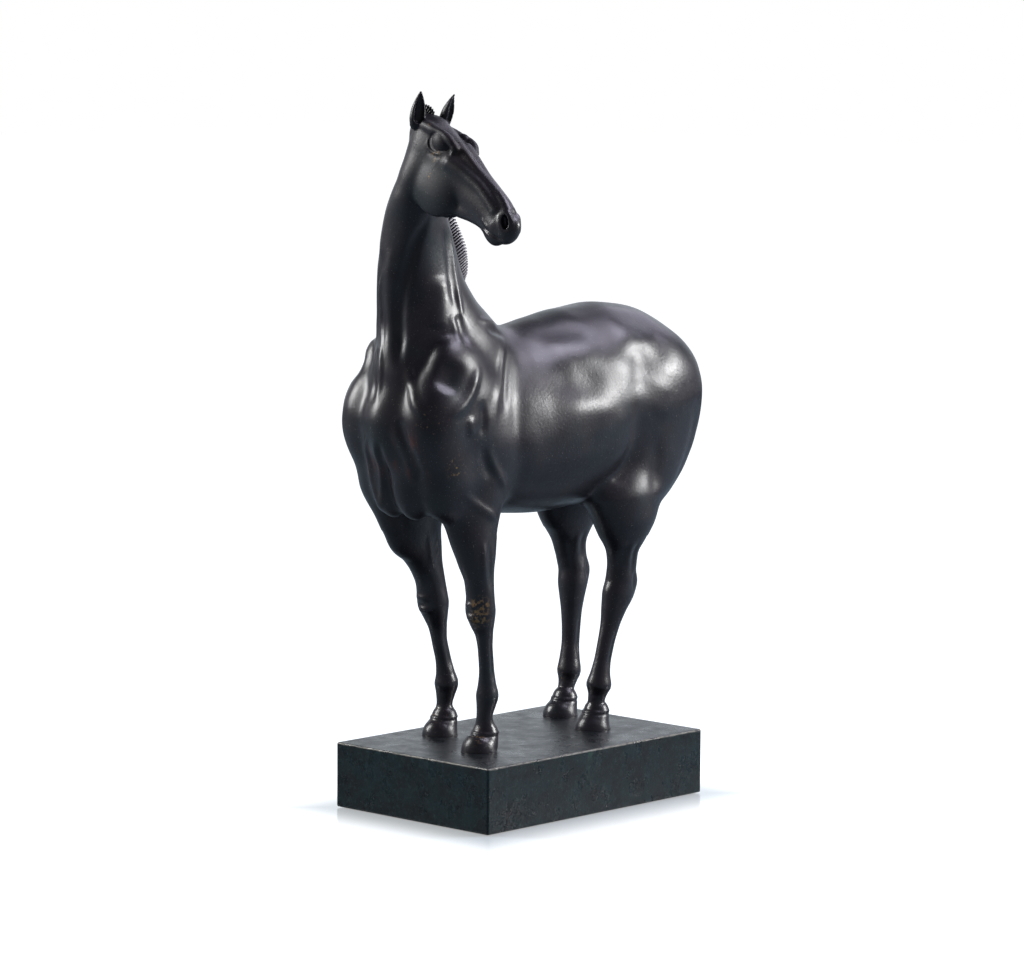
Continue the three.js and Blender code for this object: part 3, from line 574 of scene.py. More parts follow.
# Strokes on both sides of the body, given on the left: points, height, width
BODY_STROKES = [
    ([(94, 28, 250), (99, 30, 238), (105, 31, 228)], -2.6, 7),  # hollow before the shoulder
    ([(71, 30, 247), (78, 34, 237), (85, 35, 227), (94, 36, 219), (107, 33, 214)], 2.0, 3.4),
    ([(86, 36, 214), (83, 36, 200)], 1.4, 3.0),
    ([(31, 10, 261), (38, 19, 250), (50, 29, 233), (60, 34, 220), (65, 36, 204)], 1.4, 3.4),
    ([(30, 16, 253), (41, 24, 241), (50, 32, 222), (54, 35, 209)], -1.2, 3.2),
    ([(75, 35, 223), (74, 36, 211), (75, 35, 198)], -1.4, 3.2),
    ([(70, 35, 195), (65, 34, 185), (54, 33, 171), (42, 26, 161)], 1.3, 2.6),
    ([(75, 36, 196), (70, 35, 184), (62, 33, 170)], -1.0, 3.6),
    ([(20, 12, 255), (36, 27, 226), (42, 34, 196), (32, 25, 160)], -0.9, 6.5),  # back of the shoulder
    ([(55, 18, 265), (43, 15, 262), (26, 8, 258)], -1.4, 2.6),  # withers
    ([(60, 15, 269), (48, 11, 267), (34, 5, 264)], 1.2, 2.6),
    ([(90, 31, 167), (72, 30, 156), (49, 26, 143)], 1.2, 2.6),  # elbow
    ([(-74, 28, 253), (-71, 34, 240), (-68, 39, 224), (-67, 40, 208)], -0.6, 10),
    ([(-67, 40, 220), (-66, 39, 202), (-65, 36, 183), (-48, 28, 156)], -1.3, 7.5),  # flank fold
    ([(-70, 28, 250), (-64, 36, 232), (-62, 40, 212)], -0.6, 13),  # hollow of the flank
    ([(-104, 26, 250), (-92, 33, 243), (-76, 37, 238), (-62, 34, 240)], -0.9, 10),  # under the hip bone
    ([(-56, 22, 258), (-78, 26, 253), (-96, 27, 248)], 1.0, 10),
    ([(-92, 42, 228), (-86, 46, 214), (-80, 46, 200)], 0.6, 11),
    ([(12, 12, 262), (-16, 18, 262), (-46, 20, 264)], -1.4, 11),  # hollow of the loin
    ([(10, 20, 255), (-16, 28, 250), (-44, 30, 246)], 1.2, 12),  # spring of the ribs
    ([(14, 34, 232), (-14, 41, 230), (-40, 42, 230)], -1.0, 11),
    ([(14, 38, 212), (-8, 42, 212), (-34, 46, 212), (-50, 44, 214)], 1.0, 11),
    ([(-52, 30, 166), (-44, 26, 152)], 0.4, 7),  # stifle fold
    ([(-118, 34, 214), (-124, 30, 190), (-118, 32, 160), (-104, 36, 140)], -1.8, 6),  # back of the thigh
    ([(-84, 46, 190), (-86, 46, 170), (-84, 40, 146)], -1.0, 6),
]
# Strokes on the neck and the breast, whose two sides differ
NECK_STROKES = [
    ([(112, -11, 304), (110, -17, 286), (110, -17, 271), (113, -13, 254), (117, -11, 240), (121, -11, 229),
      (123, -7, 219)], 1.9, 1.7),  # edge of the throat
    ([(116, -18, 256), (118, -19, 240), (121, -17, 228), (122, -14, 218)], -1.6, 2.4),
    ([(100, 19, 338), (104, 15, 331), (107, 11, 323), (109, 7, 311), (110, 3, 299), (110, -1, 284),
      (110, -2, 272), (112, 0, 260), (114, 2, 247), (115, 4, 238)], -3.0, 3.2),  # windpipe groove
    ([(100, 19, 338), (104, 15, 331), (107, 11, 323), (109, 7, 311), (110, 3, 299), (110, -1, 284),
      (110, -2, 272), (112, 0, 260), (114, 2, 247)], -1.1, 1.4),
    ([(110, -4, 318), (110, -8, 300), (110, -10, 282), (111, -9, 262), (114, -5, 244)], 1.3, 4.0),
    ([(80, 9, 333), (74, 8, 319), (73, 11, 294), (74, 16, 277), (73, 18, 270)], 1.4, 1.9),
    ([(84, 12, 330), (79, 12, 306), (79, 16, 288), (79, 18, 276)], -0.9, 3.0),
    ([(87, 13, 300), (88, 14, 288), (91, 15, 275), (94, 17, 264)], 1.6, 7.5),
    ([(84, 16, 276), (82, 20, 266), (82, 27, 255)], 0.8, 3.2),
    ([(78, 17, 276), (77, 20, 265), (79, 27, 255)], -1.0, 3.4),
    ([(112, 8, 247), (114, 11, 235), (117, 19, 222), (114, 28, 214)], 1.8, 3.0),
    ([(124, -13, 206), (116, -24, 187), (112, -24, 174), (107, -21, 160),
      (92, -27, 148)], 1.5, 2.2),  # breast
    ([(123, -5, 201), (117, -8, 189), (109, -10, 169), (96, -18, 152)], -1.6, 2.4),
    ([(124, -8, 201), (117, -12, 189), (109, -15, 169), (98, -22, 152)], 1.0, 2.2),
    ([(121, 7, 214), (118, 12, 200), (114, 16, 187), (107, 15, 172)], -1.3, 2.8),
    ([(121, 3, 210), (118, 7, 198), (114, 10, 184), (107, 9, 168)], 0.9, 2.6),
    ([(97, -31, 300), (94, -36, 275), (92, -38, 250)], -2.0, 4.5),  # its right side
    ([(82, -27, 310), (74, -34, 285), (70, -38, 262)], 1.4, 4.5),
    ([(60, -26, 285), (56, -32, 270), (62, -36, 256)], -1.4, 4.0),
]


BODY_ENDS, NECK_ENDS = 0.35, 0.22            # part of each stroke over which it dies away


def other_side(points):
    """The same points on the horse's right."""
    return [(x, 2 * MID - y, z) for x, y, z in points]


def work_body(clay, guide):
    """Muscles and folds of the body and the neck."""
    for points, height, width in BODY_STROKES:
        clay.stroke(points, height, width, BODY_ENDS, guide)
        clay.stroke(other_side(points), height, width, BODY_ENDS, guide)
    for points, height, width in NECK_STROKES:
        clay.stroke(points, height, width, NECK_ENDS, guide)


def ring(x, y, z, radius, count=14):
    """Points round a level circle, with the first one again at the end."""
    turn = np.linspace(0, 2 * np.pi, count + 1)
    return [(x + radius * np.cos(t), y + radius * np.sin(t), z) for t in turn]


def work_leg(clay, name):
    """Tendons, knee or hock, and the band round the top of the hoof."""
    table = np.array(LEGS[name])
    x, y = table[-1, :2]
    clay.stroke(ring(x + 0.5, y, 11.4, 8.2), 0.45, 1.0, 0.001)
    clay.stroke(ring(x + 0.6, y, 9.9, 9.0), -0.35, 0.8, 0.001)
    for side in (1, -1):
        cannon = [(row[0] - 1.2, row[1] + side * row[3], row[2]) for row in table[8:12]]
        clay.stroke(cannon, -0.9, 1.4, 0.3)
        forearm = [(row[0] - 1.5, row[1] + side * row[3], row[2]) for row in table[2:6]]
        clay.stroke(forearm, -1.0, 2.2, 0.4)
        forearm = [(row[0] + 3.5, row[1] + side * row[3] * 0.9, row[2]) for row in table[2:5]]
        clay.stroke(forearm, 0.8, 2.2, 0.4)
    joint = table[6, :3]                     # the knee or the hock
    if name.startswith("fore"):
        for lift, height in ((3.8, 1.2), (-0.5, -0.8), (-4.8, 1.1)):
            band = [(7, -7, lift), (10, 0, lift), (7, 7, lift)]
            clay.stroke(joint + band, height, 1.8, 0.4)
    else:
        for side in (1, -1):
            tendon = [(-9, side * 3, 16), (-12, side * 4, 0), (-9, side * 4, -12)]
            clay.stroke(joint + tendon, 0.9, 2.0, 0.4)
            hollow = [(-6, side * 7, 16), (-7, side * 8, 0)]
            clay.stroke(joint + hollow, -1.3, 2.4, 0.4)


def press_all(clay):
    """The whole horse but for its tail."""
    press_trunk(clay)
    press_legs(clay)
    press_neck(clay)
    press_head(clay)


UNEVENNESS, UNEVENNESS_SEED = 0.5, 5
SWELLS = (78, 58, 43, 33, 26)                # lengths of the swells


def hand_unevenness(clay):
    """Shallow swells and hollows all over, as a hand leaves them in clay."""
    waves = np.random.default_rng(UNEVENNESS_SEED)
    _, x, y, z = clay.window(clay.low, clay.low + 1e4)
    swell = np.zeros_like(clay.skin)
    for length in SWELLS:
        way = unit(waves.normal(size=3)) * 2 * np.pi / length
        bend = unit(waves.normal(size=3)) * 2 * np.pi / (length * 1.7)
        start = waves.uniform(0, 6, 2)
        waver = 1.6 * np.sin(x * bend[0] + y * bend[1] + z * bend[2] + start[1])
        swell += np.sin(x * way[0] + y * way[1] + z * way[2] + start[0] + waver) * length / SWELLS[0]
    near = np.abs(clay.skin) < 8
    clay.skin -= np.where(near, swell * UNEVENNESS / 2, 0).astype(np.float32)


# ---------------------------------------------------------------- castings
# Where castings meet: station of NECK and height of each leg, as in the CAD.
NECK_JOINT, LEG_JOINT = 2, 2
THROAT = (10, -26)                          # on the head: the joint runs behind its cheek and ears
SKINS = {
    "torso": ((-160, -72, 118), (136, 55, 302), 1.25),
    "neck": ((8, -54, 226), (140, 60, 402), 0.75),
    "head": ((64, -10, 314), (138, 112, 426), 0.5),
    "foreleg_left": ((30, 0, -1), (100, 46, 142), 0.55),
    "foreleg_right": ((5, -62, -1), (102, -12, 142), 0.55),
    "hindleg_left": ((-112, -4, -1), (-35, 46, 142), 0.6),
    "hindleg_right": ((-128, -66, -1), (-50, -12, 142), 0.6),
    "tail": ((-162, -22, 172), (-114, 4, 252), 0.5),
}


def neck_plane(station):
    """A point on the joint at that station of NECK, and the way up the neck."""
    points = np.array([row[:3] for row in NECK], float)
    way = unit(points[station + 1] - points[station - 1])
    return points[station], way


def joint_cuts(name):
    """Cuts that bound a casting: point, outward direction, and a test for the faces that it cuts."""
    low, low_way = neck_plane(NECK_JOINT)
    high, high_way = on_head(*THROAT), -unit(FACE + 1.2 * TOP)
    down, everywhere = np.array([0, 0, -1.0]), lambda place: True
    if name == "torso":
        fore, hind = (np.array(LEGS[leg][LEG_JOINT][:3], float) for leg in ("foreleg_left", "hindleg_left"))
        return [(low, low_way, lambda place: place.z > 230),
                (fore, down, lambda place: place.x > 0), (hind, down, lambda place: place.x < 0)]
    if name == "neck":
        return [(low, -low_way, everywhere), (high, -high_way, everywhere)]
    if name == "head":
        return [(high, high_way, everywhere)]
    if name == "tail":
        return []
    top = np.array(LEGS[name][LEG_JOINT][:3], float)
    return [(top, -down, everywhere), (np.zeros(3), down, everywhere)]


def new_object(name, mesh):
    """A mesh or a lamp, put in the scene."""
    thing = bpy.data.objects.new(name, mesh)
    bpy.context.scene.collection.objects.link(thing)
    return thing


def bronze_piece(name, mesh, *nodes):
    """A piece of bronze from a mesh in millimetres above the plinth's top."""
    mesh.transform(Matrix.Scale(MM, 4) @ Matrix.Translation((0, 0, PLINTH_TOP)))
    thing = new_object(name, mesh)
    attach(thing, "root")
    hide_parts(*nodes)
    return thing


def casting(name, guide):
    """One casting's skin, cut off where it meets its neighbours."""
    low, high, cell = SKINS[name]
    clay = Clay(low, high, cell * (1))
    if name == "tail":
        press_tail(clay)
    else:
        press_all(clay)
        work_body(clay, guide)
    if name == "head":
        work_head(clay)
    if name in LEGS:
        work_leg(clay, name)
    elif name != "tail":
        hand_unevenness(clay)
    vertices, quads = clay.mesh()
    vertices = clay.settle(vertices)
    work = bmesh.new()
    corners = [work.verts.new(v) for v in vertices]
    for quad in quads:
        work.faces.new([corners[i] for i in quad])
    for point, way, wanted in joint_cuts(name):
        faces = [f for f in work.faces if wanted(f.calc_center_median())]
        edges = {e for f in faces for e in f.edges}
        verts = {v for f in faces for v in f.verts}
        cut = bmesh.ops.bisect_plane(work, geom=[*verts, *edges, *faces], plane_co=point, plane_no=way,
                                     clear_outer=True)
        rim = [e for e in cut["geom_cut"] if isinstance(e, bmesh.types.BMEdge)]
        bmesh.ops.edgeloop_fill(work, edges=rim)
    for face in work.faces:
        face.smooth = True
    mesh = bpy.data.meshes.new(name)
    work.to_mesh(mesh)
    work.free()
    points = np.empty(len(mesh.vertices) * 3)
    mesh.vertices.foreach_get("co", points)
    normals = clay.outward(points.reshape(-1, 3), clay.cell * 0.9)
    mesh.normals_split_custom_set_from_vertices(normals.tolist())
    return bronze_piece(name + "_bronze", mesh, name)


MANE_RIDGES = 2.1                          # spacing of the mane's cross grooves, mm
MANE_SIDES = 20


def mane():
    """The hogged mane: one strip from the withers side of the neck over the poll, cut across by grooves."""
    rows = []
    for station, stands, half in MANE:
        point, out = crest_point(station)
        rows.append([*point, *out, stands, half])
    for (f, t), (along, outward), stands, half in FORELOCK:
        rows.append([*on_head(f, t), *unit(along * FACE + outward * TOP), stands, half])
    rows = np.array(rows)
    halfway_up = rows[:, :3] + rows[:, 3:6] * 4
    knots = np.concatenate([[0], np.cumsum(np.linalg.norm(np.diff(halfway_up, axis=0), axis=1))])
    step = MANE_RIDGES / 8
    at = np.arange(0, knots[-1], step)
    rows = curve_through(knots, rows, at)
    points, out = rows[:, :3], unit(rows[:, 3:6])
    tangent = unit(np.gradient(points, axis=0))
    out = unit(out - (out * tangent).sum(1, keepdims=True) * tangent)
    side = np.cross(out, tangent)
    wave = 0.5 - 0.5 * np.cos(2 * np.pi * (at / MANE_RIDGES + 0.12 * np.sin(at / 3.1)))
    groove = wave ** 0.9
    vertices, hollows = [], []
    for point, way, across, stands, half, full in zip(points, out, side, rows[:, 6], rows[:, 7], groove):
        hollows += [1 - full] * MANE_SIDES
        for k in range(MANE_SIDES):
            turn = 2 * math.pi * k / MANE_SIDES
            high, wide = math.cos(turn), math.sin(turn)
            reach = stands * (1 - 0.2 * (1 - full)) if high > 0 else 5.0
            flat = math.copysign(abs(wide) ** 0.8, wide)
            width = half * (1.15 - 0.8 * (1 - full)) * (1 - 0.3 * max(high, 0))
            vertices.append(point + way * high * reach + across * flat * width)
    faces = []
    for i in range(len(points) - 1):
        for k in range(MANE_SIDES):
            a, b = i * MANE_SIDES + k, i * MANE_SIDES + (k + 1) % MANE_SIDES
            faces.append((a, b, b + MANE_SIDES, a + MANE_SIDES))
    faces.append(tuple(reversed(range(MANE_SIDES))))
    faces.append(tuple(range(len(vertices) - MANE_SIDES, len(vertices))))
    mesh = bpy.data.meshes.new("mane")
    mesh.from_pydata([tuple(v) for v in vertices], [], faces)
    work = bmesh.new()
    work.from_mesh(mesh)
    bmesh.ops.recalc_face_normals(work, faces=work.faces)
    work.to_mesh(mesh)
    work.free()
    mesh.attributes.new("hollow", "FLOAT", "POINT").data.foreach_set("value", hollows)
    mesh.shade_smooth()
    return bronze_piece("mane_bronze", mesh, "neck")


# ---------------------------------------------------------------- materials
class Finish:
    """A material, with short ways to add the nodes that its patterns are made of."""

    def __init__(self, name, colour, roughness, metallic=0.0, specular=0.5):
        self.made = bpy.data.materials.new(name)
        self.made.use_nodes = True
        self.nodes, self.links = self.made.node_tree.nodes, self.made.node_tree.links
        self.shader = self.nodes["Principled BSDF"]
        self.shader.inputs["Base Color"].default_value = (*colour, 1)
        self.shader.inputs["Roughness"].default_value = roughness
        self.shader.inputs["Metallic"].default_value = metallic
        self.shader.inputs["Specular IOR Level"].default_value = specular
        self.place = self.nodes.new("ShaderNodeTexCoord").outputs["Object"]
        self.colour = (*colour, 1)

    def noise(self, size_mm, detail=3.0, roughness=0.6, stretch=(1, 1, 1)):
        node = self.nodes.new("ShaderNodeTexNoise")
        node.inputs["Scale"].default_value = 1 / (size_mm * MM)
        node.inputs["Detail"].default_value = detail
        node.inputs["Roughness"].default_value = roughness
        scaled = self.nodes.new("ShaderNodeVectorMath")
        scaled.operation = "MULTIPLY"
        scaled.inputs[1].default_value = stretch
        self.links.new(self.place, scaled.inputs[0])
        self.links.new(scaled.outputs[0], node.inputs["Vector"])
        return node.outputs["Fac"]

    def ranged(self, value, low, high, to_low=0.0, to_high=1.0):
        node = self.nodes.new("ShaderNodeMapRange")
        node.interpolation_type = "SMOOTHSTEP"
        for key, number in zip(("From Min", "From Max", "To Min", "To Max"), (low, high, to_low, to_high)):
            node.inputs[key].default_value = number
        self.links.new(value, node.inputs["Value"])
        return node.outputs["Result"]

    def maths(self, operation, a, b):
        node = self.nodes.new("ShaderNodeMath")
        node.operation = operation
        for i, value in enumerate((a, b)):
            if isinstance(value, (int, float)):
                node.inputs[i].default_value = value
            else:
                self.links.new(value, node.inputs[i])
        return node.outputs[0]

    def near(self, place_mm, radius_mm):
        """1 at a place on the horse, 0 beyond the radius."""
        node = self.nodes.new("ShaderNodeVectorMath")
        node.operation = "DISTANCE"
        node.inputs[1].default_value = (place_mm[0] * MM, place_mm[1] * MM, (place_mm[2] + PLINTH_TOP) * MM)
        self.links.new(self.place, node.inputs[0])
        return self.ranged(node.outputs["Value"], radius_mm * MM, 0.25 * radius_mm * MM)

    def tint(self, colour, amount):
        """Lays another colour over the one so far."""
        node = self.nodes.new("ShaderNodeMix")
        node.data_type = "RGBA"
        if isinstance(self.colour, tuple):
            node.inputs["A"].default_value = self.colour
        else:
            self.links.new(self.colour, node.inputs["A"])
        node.inputs["B"].default_value = (*colour, 1)
        self.links.new(amount, node.inputs["Factor"])
        self.colour = node.outputs["Result"]
        self.links.new(self.colour, self.shader.inputs["Base Color"])

    def rough(self, value):
        self.links.new(value, self.shader.inputs["Roughness"])

    def bump(self, value, height_mm):
        node = self.nodes.new("ShaderNodeBump")
        node.inputs["Distance"].default_value = height_mm * MM
        node.inputs["Strength"].default_value = 1.0
        self.links.new(value, node.inputs["Height"])
        self.links.new(node.outputs["Normal"], self.shader.inputs["Normal"])


# Where the dark wax is rubbed through to gold-brown metal: place, radius, the grain it starts at
RUBBED = [((69, 29, 93), 9, 0.5), ((69, 29, 85), 9, 0.45), ((95, 38, 182), 12, 0.55),
          ((112, 30, 212), 14, 0.6), ((105, 20, 200), 16, 0.62), ((-74, -38, 28), 9, 0.56),
          ((66, 22, 11), 9, 0.56), ((38, -38, 11), 9, 0.58)]
CHEEK_SPOTS = [((25, -8.5, 14), 6, 0.52), ((30, -20, 13), 4, 0.54), ((8, 4, 12), 4, 0.56)]
RED_STREAKS = [((116, 14, 190), 24), ((108, -20, 186), 22)]


def bronze_finish():
    """Near-black patina, waxed: a lilac cast, light specks, red-brown streaks, rubbed high spots."""
    skin = Finish("dark_bronze", (0.0100, 0.0085, 0.0118), 0.33, specular=0.42)
    skin.tint((0.016, 0.0145, 0.019), skin.ranged(skin.noise(45), 0.42, 0.68))
    skin.tint((0.018, 0.012, 0.011), skin.ranged(skin.noise(28, stretch=(1, 1, 0.5)), 0.58, 0.78))
    skin.tint((0.009, 0.0145, 0.017), skin.ranged(skin.noise(33, 3.0, stretch=(1.1, 0.9, 0.8)), 0.50, 0.75))
    for place, radius in RED_STREAKS:
        streak = skin.ranged(skin.noise(7, stretch=(1, 1, 0.22)), 0.5, 0.72)
        skin.tint((0.060, 0.016, 0.011), skin.maths("MULTIPLY", skin.near(place, radius), streak))
    skin.tint((0.09, 0.088, 0.085), skin.ranged(skin.noise(0.7, 0.0), 0.77, 0.82))
    on_cheek = [(tuple(on_head(*place)), radius, level) for place, radius, level in CHEEK_SPOTS]
    for place, radius, level in RUBBED + on_cheek:
        worn = skin.ranged(skin.noise(2.6, 4.0), level, level + 0.12)
        skin.tint((0.22, 0.13, 0.05), skin.maths("MULTIPLY", skin.near(place, radius), worn))
    dull = skin.maths("MULTIPLY", skin.near(tuple(on_head(28, -16, 4)), 62), 0.16)  # a less polished head
    skin.rough(skin.maths("ADD", skin.ranged(skin.noise(20, 3.0), 0.3, 0.7, 0.295, 0.385), dull))
    skin.links.new(skin.ranged(dull, 0.0, 0.16, 0.42, 0.29), skin.shader.inputs["Specular IOR Level"])
    skin.bump(skin.noise(1.9, 4.0), 0.11)
    return skin.made


def mane_finish():
    """The mane's bronze: the ridges are rubbed bright, and the dull wax stays in the grooves."""
    skin = Finish("mane_bronze", (0.010, 0.010, 0.013), 0.33)
    groove = skin.nodes.new("ShaderNodeAttribute")
    groove.attribute_name = "hollow"
    worn = skin.ranged(groove.outputs["Fac"], 0.35, 0.05)
    skin.tint((0.10, 0.095, 0.09), skin.maths("MULTIPLY", worn, 0.5))
    skin.links.new(skin.ranged(groove.outputs["Fac"], 0.15, 0.75, 0.75, 0.0),
                   skin.shader.inputs["Specular IOR Level"])
    skin.rough(skin.ranged(skin.noise(9, 3.0), 0.3, 0.7, 0.28, 0.40))
    skin.bump(skin.noise(1.7, 4.0), 0.08)
    return skin.made


def plinth_finish():
    """Dark bronze with a mottled blue-green bloom on the sides, specks, and edges worn pale."""
    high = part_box("plinth")[1]
    skin = Finish("plinth_bronze", (0.005, 0.0065, 0.008), 0.34, specular=0.4)
    split = skin.nodes.new("ShaderNodeSeparateXYZ")
    skin.links.new(skin.place, split.inputs[0])
    x, y, z = (split.outputs[axis] for axis in "XYZ")
    side = skin.ranged(z, high[2] - 0.6 * MM, high[2] - 2.0 * MM)
    bloom = skin.maths("MULTIPLY", side, skin.ranged(skin.noise(16, 6.0, 0.7), 0.36, 0.66))
    skin.tint((0.006, 0.016, 0.019), bloom)
    fine = skin.maths("MULTIPLY", side, skin.ranged(skin.noise(2.4, 3.0, 0.7), 0.48, 0.70))
    skin.tint((0.013, 0.031, 0.035), skin.maths("MULTIPLY", fine, 0.8))
    specks = skin.ranged(skin.noise(0.9, 1.0), 0.70, 0.78)
    skin.tint((0.06, 0.08, 0.08), skin.maths("MULTIPLY", side, specks))
    run = skin.ranged(skin.maths("ABSOLUTE", skin.maths("SUBTRACT", x, 7 * MM), 0), 3.5 * MM, 0.5 * MM)
    run = skin.maths("MULTIPLY", run, skin.ranged(z, high[2] - 30 * MM, high[2] - 4 * MM))
    run = skin.maths("MULTIPLY", run, skin.ranged(skin.noise(7, 3.0, 0.6, (1, 1, 0.25)), 0.42, 0.62))
    skin.tint((0.020, 0.060, 0.045), skin.maths("MULTIPLY", skin.maths("MULTIPLY", side, run), 0.8))
    edges = [skin.ranged(skin.maths("ABSOLUTE", across, 0), end - 1.3 * MM, end - 0.5 * MM)
             for across, end in ((x, high[0]), (y, high[1]))]
    edge = skin.maths("MAXIMUM", *edges)
    top_edge = skin.maths("MULTIPLY", edge, skin.ranged(z, high[2] - 1.5 * MM, high[2] - 0.7 * MM))
    worn = skin.maths("MULTIPLY", top_edge, skin.ranged(skin.noise(5, 4.0), 0.38, 0.55))
    skin.tint((0.11, 0.105, 0.085), skin.maths("MULTIPLY", worn, 0.8))
    skin.links.new(skin.ranged(z, high[2] - 1.6 * MM, high[2] - 0.6 * MM, 0.22, 0.42),
                   skin.shader.inputs["Specular IOR Level"])
    skin.rough(skin.ranged(skin.noise(12, 5.0), 0.3, 0.7, 0.24, 0.40))
    skin.bump(skin.noise(1.6, 5.0, 0.7), 0.22)
    return skin.made


def plain_finish(name, colour, roughness, metallic, grain, grain_mm, shade, bump_mm):
    """One colour with a grain: the grain's stretch and size, how dark it goes, and its relief."""
    skin = Finish(name, colour, roughness, metallic)
    pattern = skin.noise(grain_mm, 4.0, 0.6, grain)
    skin.tint(tuple(c * shade for c in colour), skin.ranged(pattern, 0.4, 0.65))
    skin.rough(skin.ranged(pattern, 0.3, 0.7, roughness * 0.85, min(1.0, roughness * 1.15)))
    skin.bump(pattern, bump_mm)
    return skin.made


# ---------------------------------------------------------------- the studio
FLOOR = 8.0                                  # from its middle to an edge, m


def studio():
    """A pale floor that the camera sees white but for painted shade close round the plinth, and a room that
    is bright only behind the figure.
    """
    floor = bpy.data.meshes.new("floor")
    corners = [(-FLOOR, -FLOOR, 0), (FLOOR, -FLOOR, 0), (FLOOR, FLOOR, 0), (-FLOOR, FLOOR, 0)]
    floor.from_pydata(corners, [], [(0, 1, 2, 3)])
    floor = new_object("floor", floor)
    paper = Finish("white_paper", (0.17, 0.22, 0.25), 0.14)
    paper.shader.inputs["Emission Color"].default_value = (1, 1, 1, 1)
    split = paper.nodes.new("ShaderNodeSeparateXYZ")
    paper.links.new(paper.place, split.inputs[0])
    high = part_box("plinth")[1]
    beyond = [paper.maths("SUBTRACT", paper.maths("ABSOLUTE", split.outputs[axis], 0), high[i])
              for i, axis in enumerate("XY")]
    beside = paper.ranged(paper.maths("MAXIMUM", *beyond), 0.15, 0.0)
    seen = paper.nodes.new("ShaderNodeLightPath").outputs["Is Camera Ray"]
    # The floor glows for the camera only, and the glow is weaker within 5 cm of the plinth: painted shade
    # round the plinth's foot.
    glow_dimmed_as_painted_shade = paper.ranged(paper.maths("MAXIMUM", *beyond), 0.0, 0.050, 0.36, 1.0)
    paper.links.new(paper.maths("MULTIPLY", glow_dimmed_as_painted_shade, seen), paper.shader.inputs["Emission Strength"])
    paper.links.new(paper.maths("MULTIPLY", beside, 0.5), paper.shader.inputs["Specular IOR Level"])
    floor.data.materials.append(paper.made)
    world = bpy.data.worlds.new("white_room")
    world.use_nodes = True
    nodes, links = world.node_tree.nodes, world.node_tree.links
    shade = nodes["Background"]
    place = nodes.new("ShaderNodeTexCoord")
    split = nodes.new("ShaderNodeSeparateXYZ")
    links.new(place.outputs["Generated"], split.inputs[0])
    ramp = nodes.new("ShaderNodeValToRGB")
    ramp.color_ramp.interpolation = "EASE"
    stops = [(0.0, 0.38), (0.25, 0.24), (0.6, 0.10), (1.0, 0.055)]
    ramp.color_ramp.elements.remove(ramp.color_ramp.elements[1])
    for i, (at, value) in enumerate(stops):
        stop = ramp.color_ramp.elements[0] if i == 0 else ramp.color_ramp.elements.new(at)
        stop.position, stop.color = at, (value * 0.97, value * 0.96, value * 1.12, 1)
    links.new(split.outputs["Z"], ramp.inputs[0])
    behind = nodes.new("ShaderNodeVectorMath")       # a white sheet hangs behind the figure
    behind.operation = "DOT_PRODUCT"
    behind.inputs[1].default_value = (-0.73, -0.68, 0)
    links.new(place.outputs["Generated"], behind.inputs[0])
    reach = nodes.new("ShaderNodeMapRange")
    reach.interpolation_type = "SMOOTHSTEP"
    reach.inputs["From Min"].default_value = 0.68
    reach.inputs["From Max"].default_value = 0.9
    links.new(behind.outputs["Value"], reach.inputs["Value"])
    sheet = nodes.new("ShaderNodeMix")
    sheet.data_type = "RGBA"
    sheet.inputs["B"].default_value = (0.86, 0.93, 1.0, 1)
    links.new(reach.outputs["Result"], sheet.inputs["Factor"])
    links.new(ramp.outputs["Color"], sheet.inputs["A"])
    seen = nodes.new("ShaderNodeLightPath")
    mix = nodes.new("ShaderNodeMix")
    mix.data_type = "RGBA"
    mix.inputs["B"].default_value = (1, 1, 1, 1)
    links.new(seen.outputs["Is Camera Ray"], mix.inputs["Factor"])
    links.new(sheet.outputs["Result"], mix.inputs["A"])
    links.new(mix.outputs["Result"], shade.inputs["Color"])
    bpy.context.scene.world = world
    bpy.context.scene.view_settings.view_transform = "Standard"


def soft_light(name, place, target, size, power, colour=(1, 1, 1)):
    """A softbox at a place, turned to its target."""
    lamp = bpy.data.lights.new(name, "AREA")
    lamp.shape, lamp.size, lamp.size_y, lamp.energy = "RECTANGLE", size[0], size[1], power
    lamp.color = colour
    thing = new_object(name, lamp)
    thing.location = place
    thing.rotation_euler = (Vector(target) - Vector(place)).to_track_quat("-Z", "Y").to_euler()


CAMERA_PLACE = (2.02642, 1.88757, 0.53817)
CAMERA_AZIMUTH, CAMERA_DROP, CAMERA_ROLL = 223.106, 6.799, 0.363      # degrees
SENSOR_WIDTH, FOCAL_LENGTH = 36, 154.7                                # mm


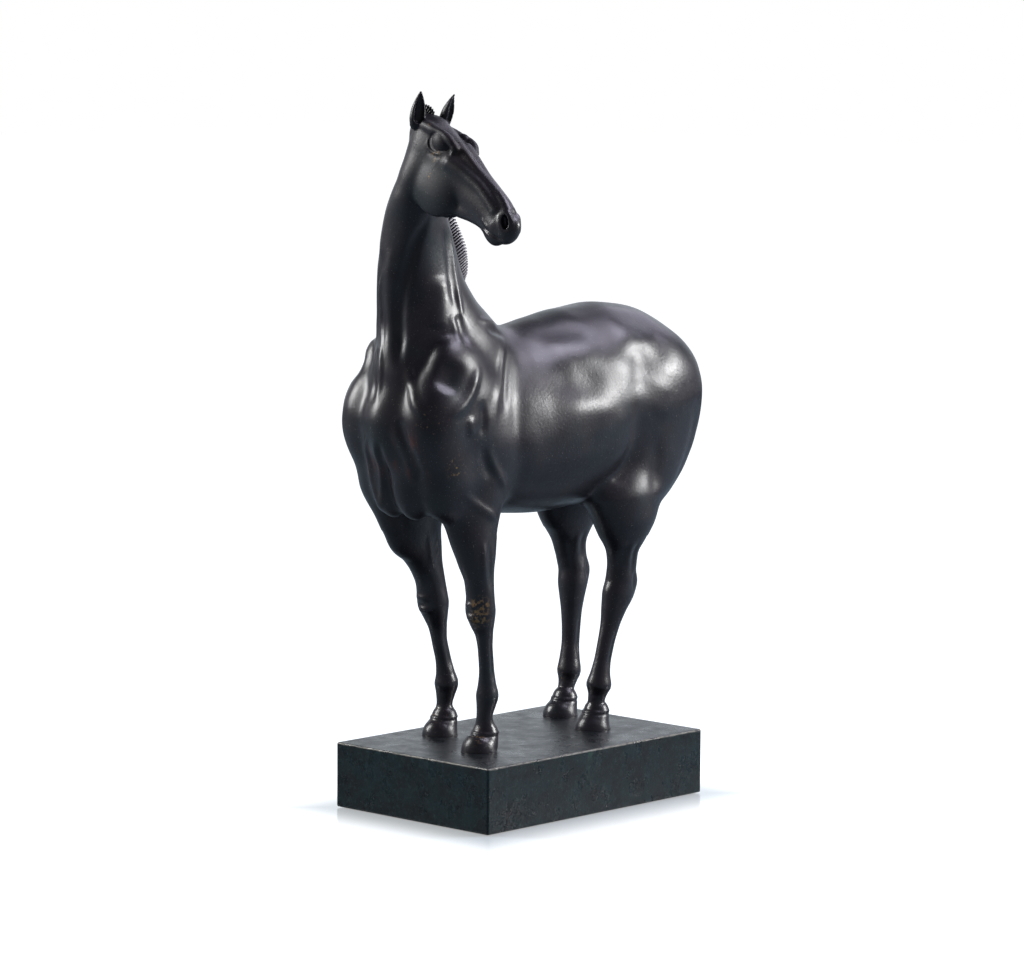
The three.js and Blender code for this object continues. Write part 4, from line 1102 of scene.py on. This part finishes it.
def camera():
    lens = bpy.data.cameras.new("camera")
    lens.sensor_width, lens.lens = SENSOR_WIDTH, FOCAL_LENGTH
    thing = new_object("camera", lens)
    azimuth, drop = math.radians(CAMERA_AZIMUTH), math.radians(CAMERA_DROP)
    way = Vector((math.cos(azimuth) * math.cos(drop), math.sin(azimuth) * math.cos(drop), -math.sin(drop)))
    turn = way.to_track_quat("-Z", "Y").to_matrix() @ Matrix.Rotation(math.radians(CAMERA_ROLL), 3, "Z")
    thing.location = CAMERA_PLACE
    thing.rotation_euler = turn.to_euler()
    bpy.context.scene.camera = thing


studio()
camera()
soft_light("right_bank", (-1.35, 1.15, 0.80), (0, 0, 0.27), (0.45, 0.45), 34)
soft_light("overhead", (-0.8, 0.7, 1.75), (0, 0, 0.27), (1.1, 0.8), 30, (0.86, 0.82, 1.0))
soft_light("left_bank", (1.0, -1.3, 1.1), (0, 0, 0.27), (0.45, 0.9), 40)
soft_light("back_bank", (-1.5, -0.4, 1.25), (0, 0, 0.3), (0.8, 0.6), 3, (0.86, 0.82, 1.0))

bronze = bronze_finish()
FINISHES = {
    "plinth": plinth_finish(),
    "base_board": plain_finish("board_wood", (0.42, 0.29, 0.17), 0.6, 0, (0.15, 1, 1), 2.2, 0.72, 0.08),
    "felt": plain_finish("felt", (0.025, 0.055, 0.035), 0.95, 0, (1, 1, 1), 0.6, 0.6, 0.2),
}
STEEL = plain_finish("turned_steel", (0.50, 0.51, 0.52), 0.35, 1.0, (1, 1, 4), 1.2, 0.85, 0.01)
BRASS = plain_finish("screw_brass", (0.55, 0.40, 0.16), 0.3, 1.0, (1, 1, 1), 2.0, 0.8, 0.01)
for name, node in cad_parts.items():
    finish = FINISHES.get(name)
    if name.endswith(("_stud", "_washer", "_nut")):
        finish = STEEL
    elif name.startswith("board_screw"):
        finish = BRASS
    elif "pin" in name:
        finish = bronze
    if finish:
        for place in node.material_slots:
            place.material = finish
guide = Clay((-165, -75, -2), (150, 115, 428), 2.0)
press_all(guide)
for name in SKINS:
    casting(name, guide).data.materials.append(bronze)
mane().data.materials.append(mane_finish())
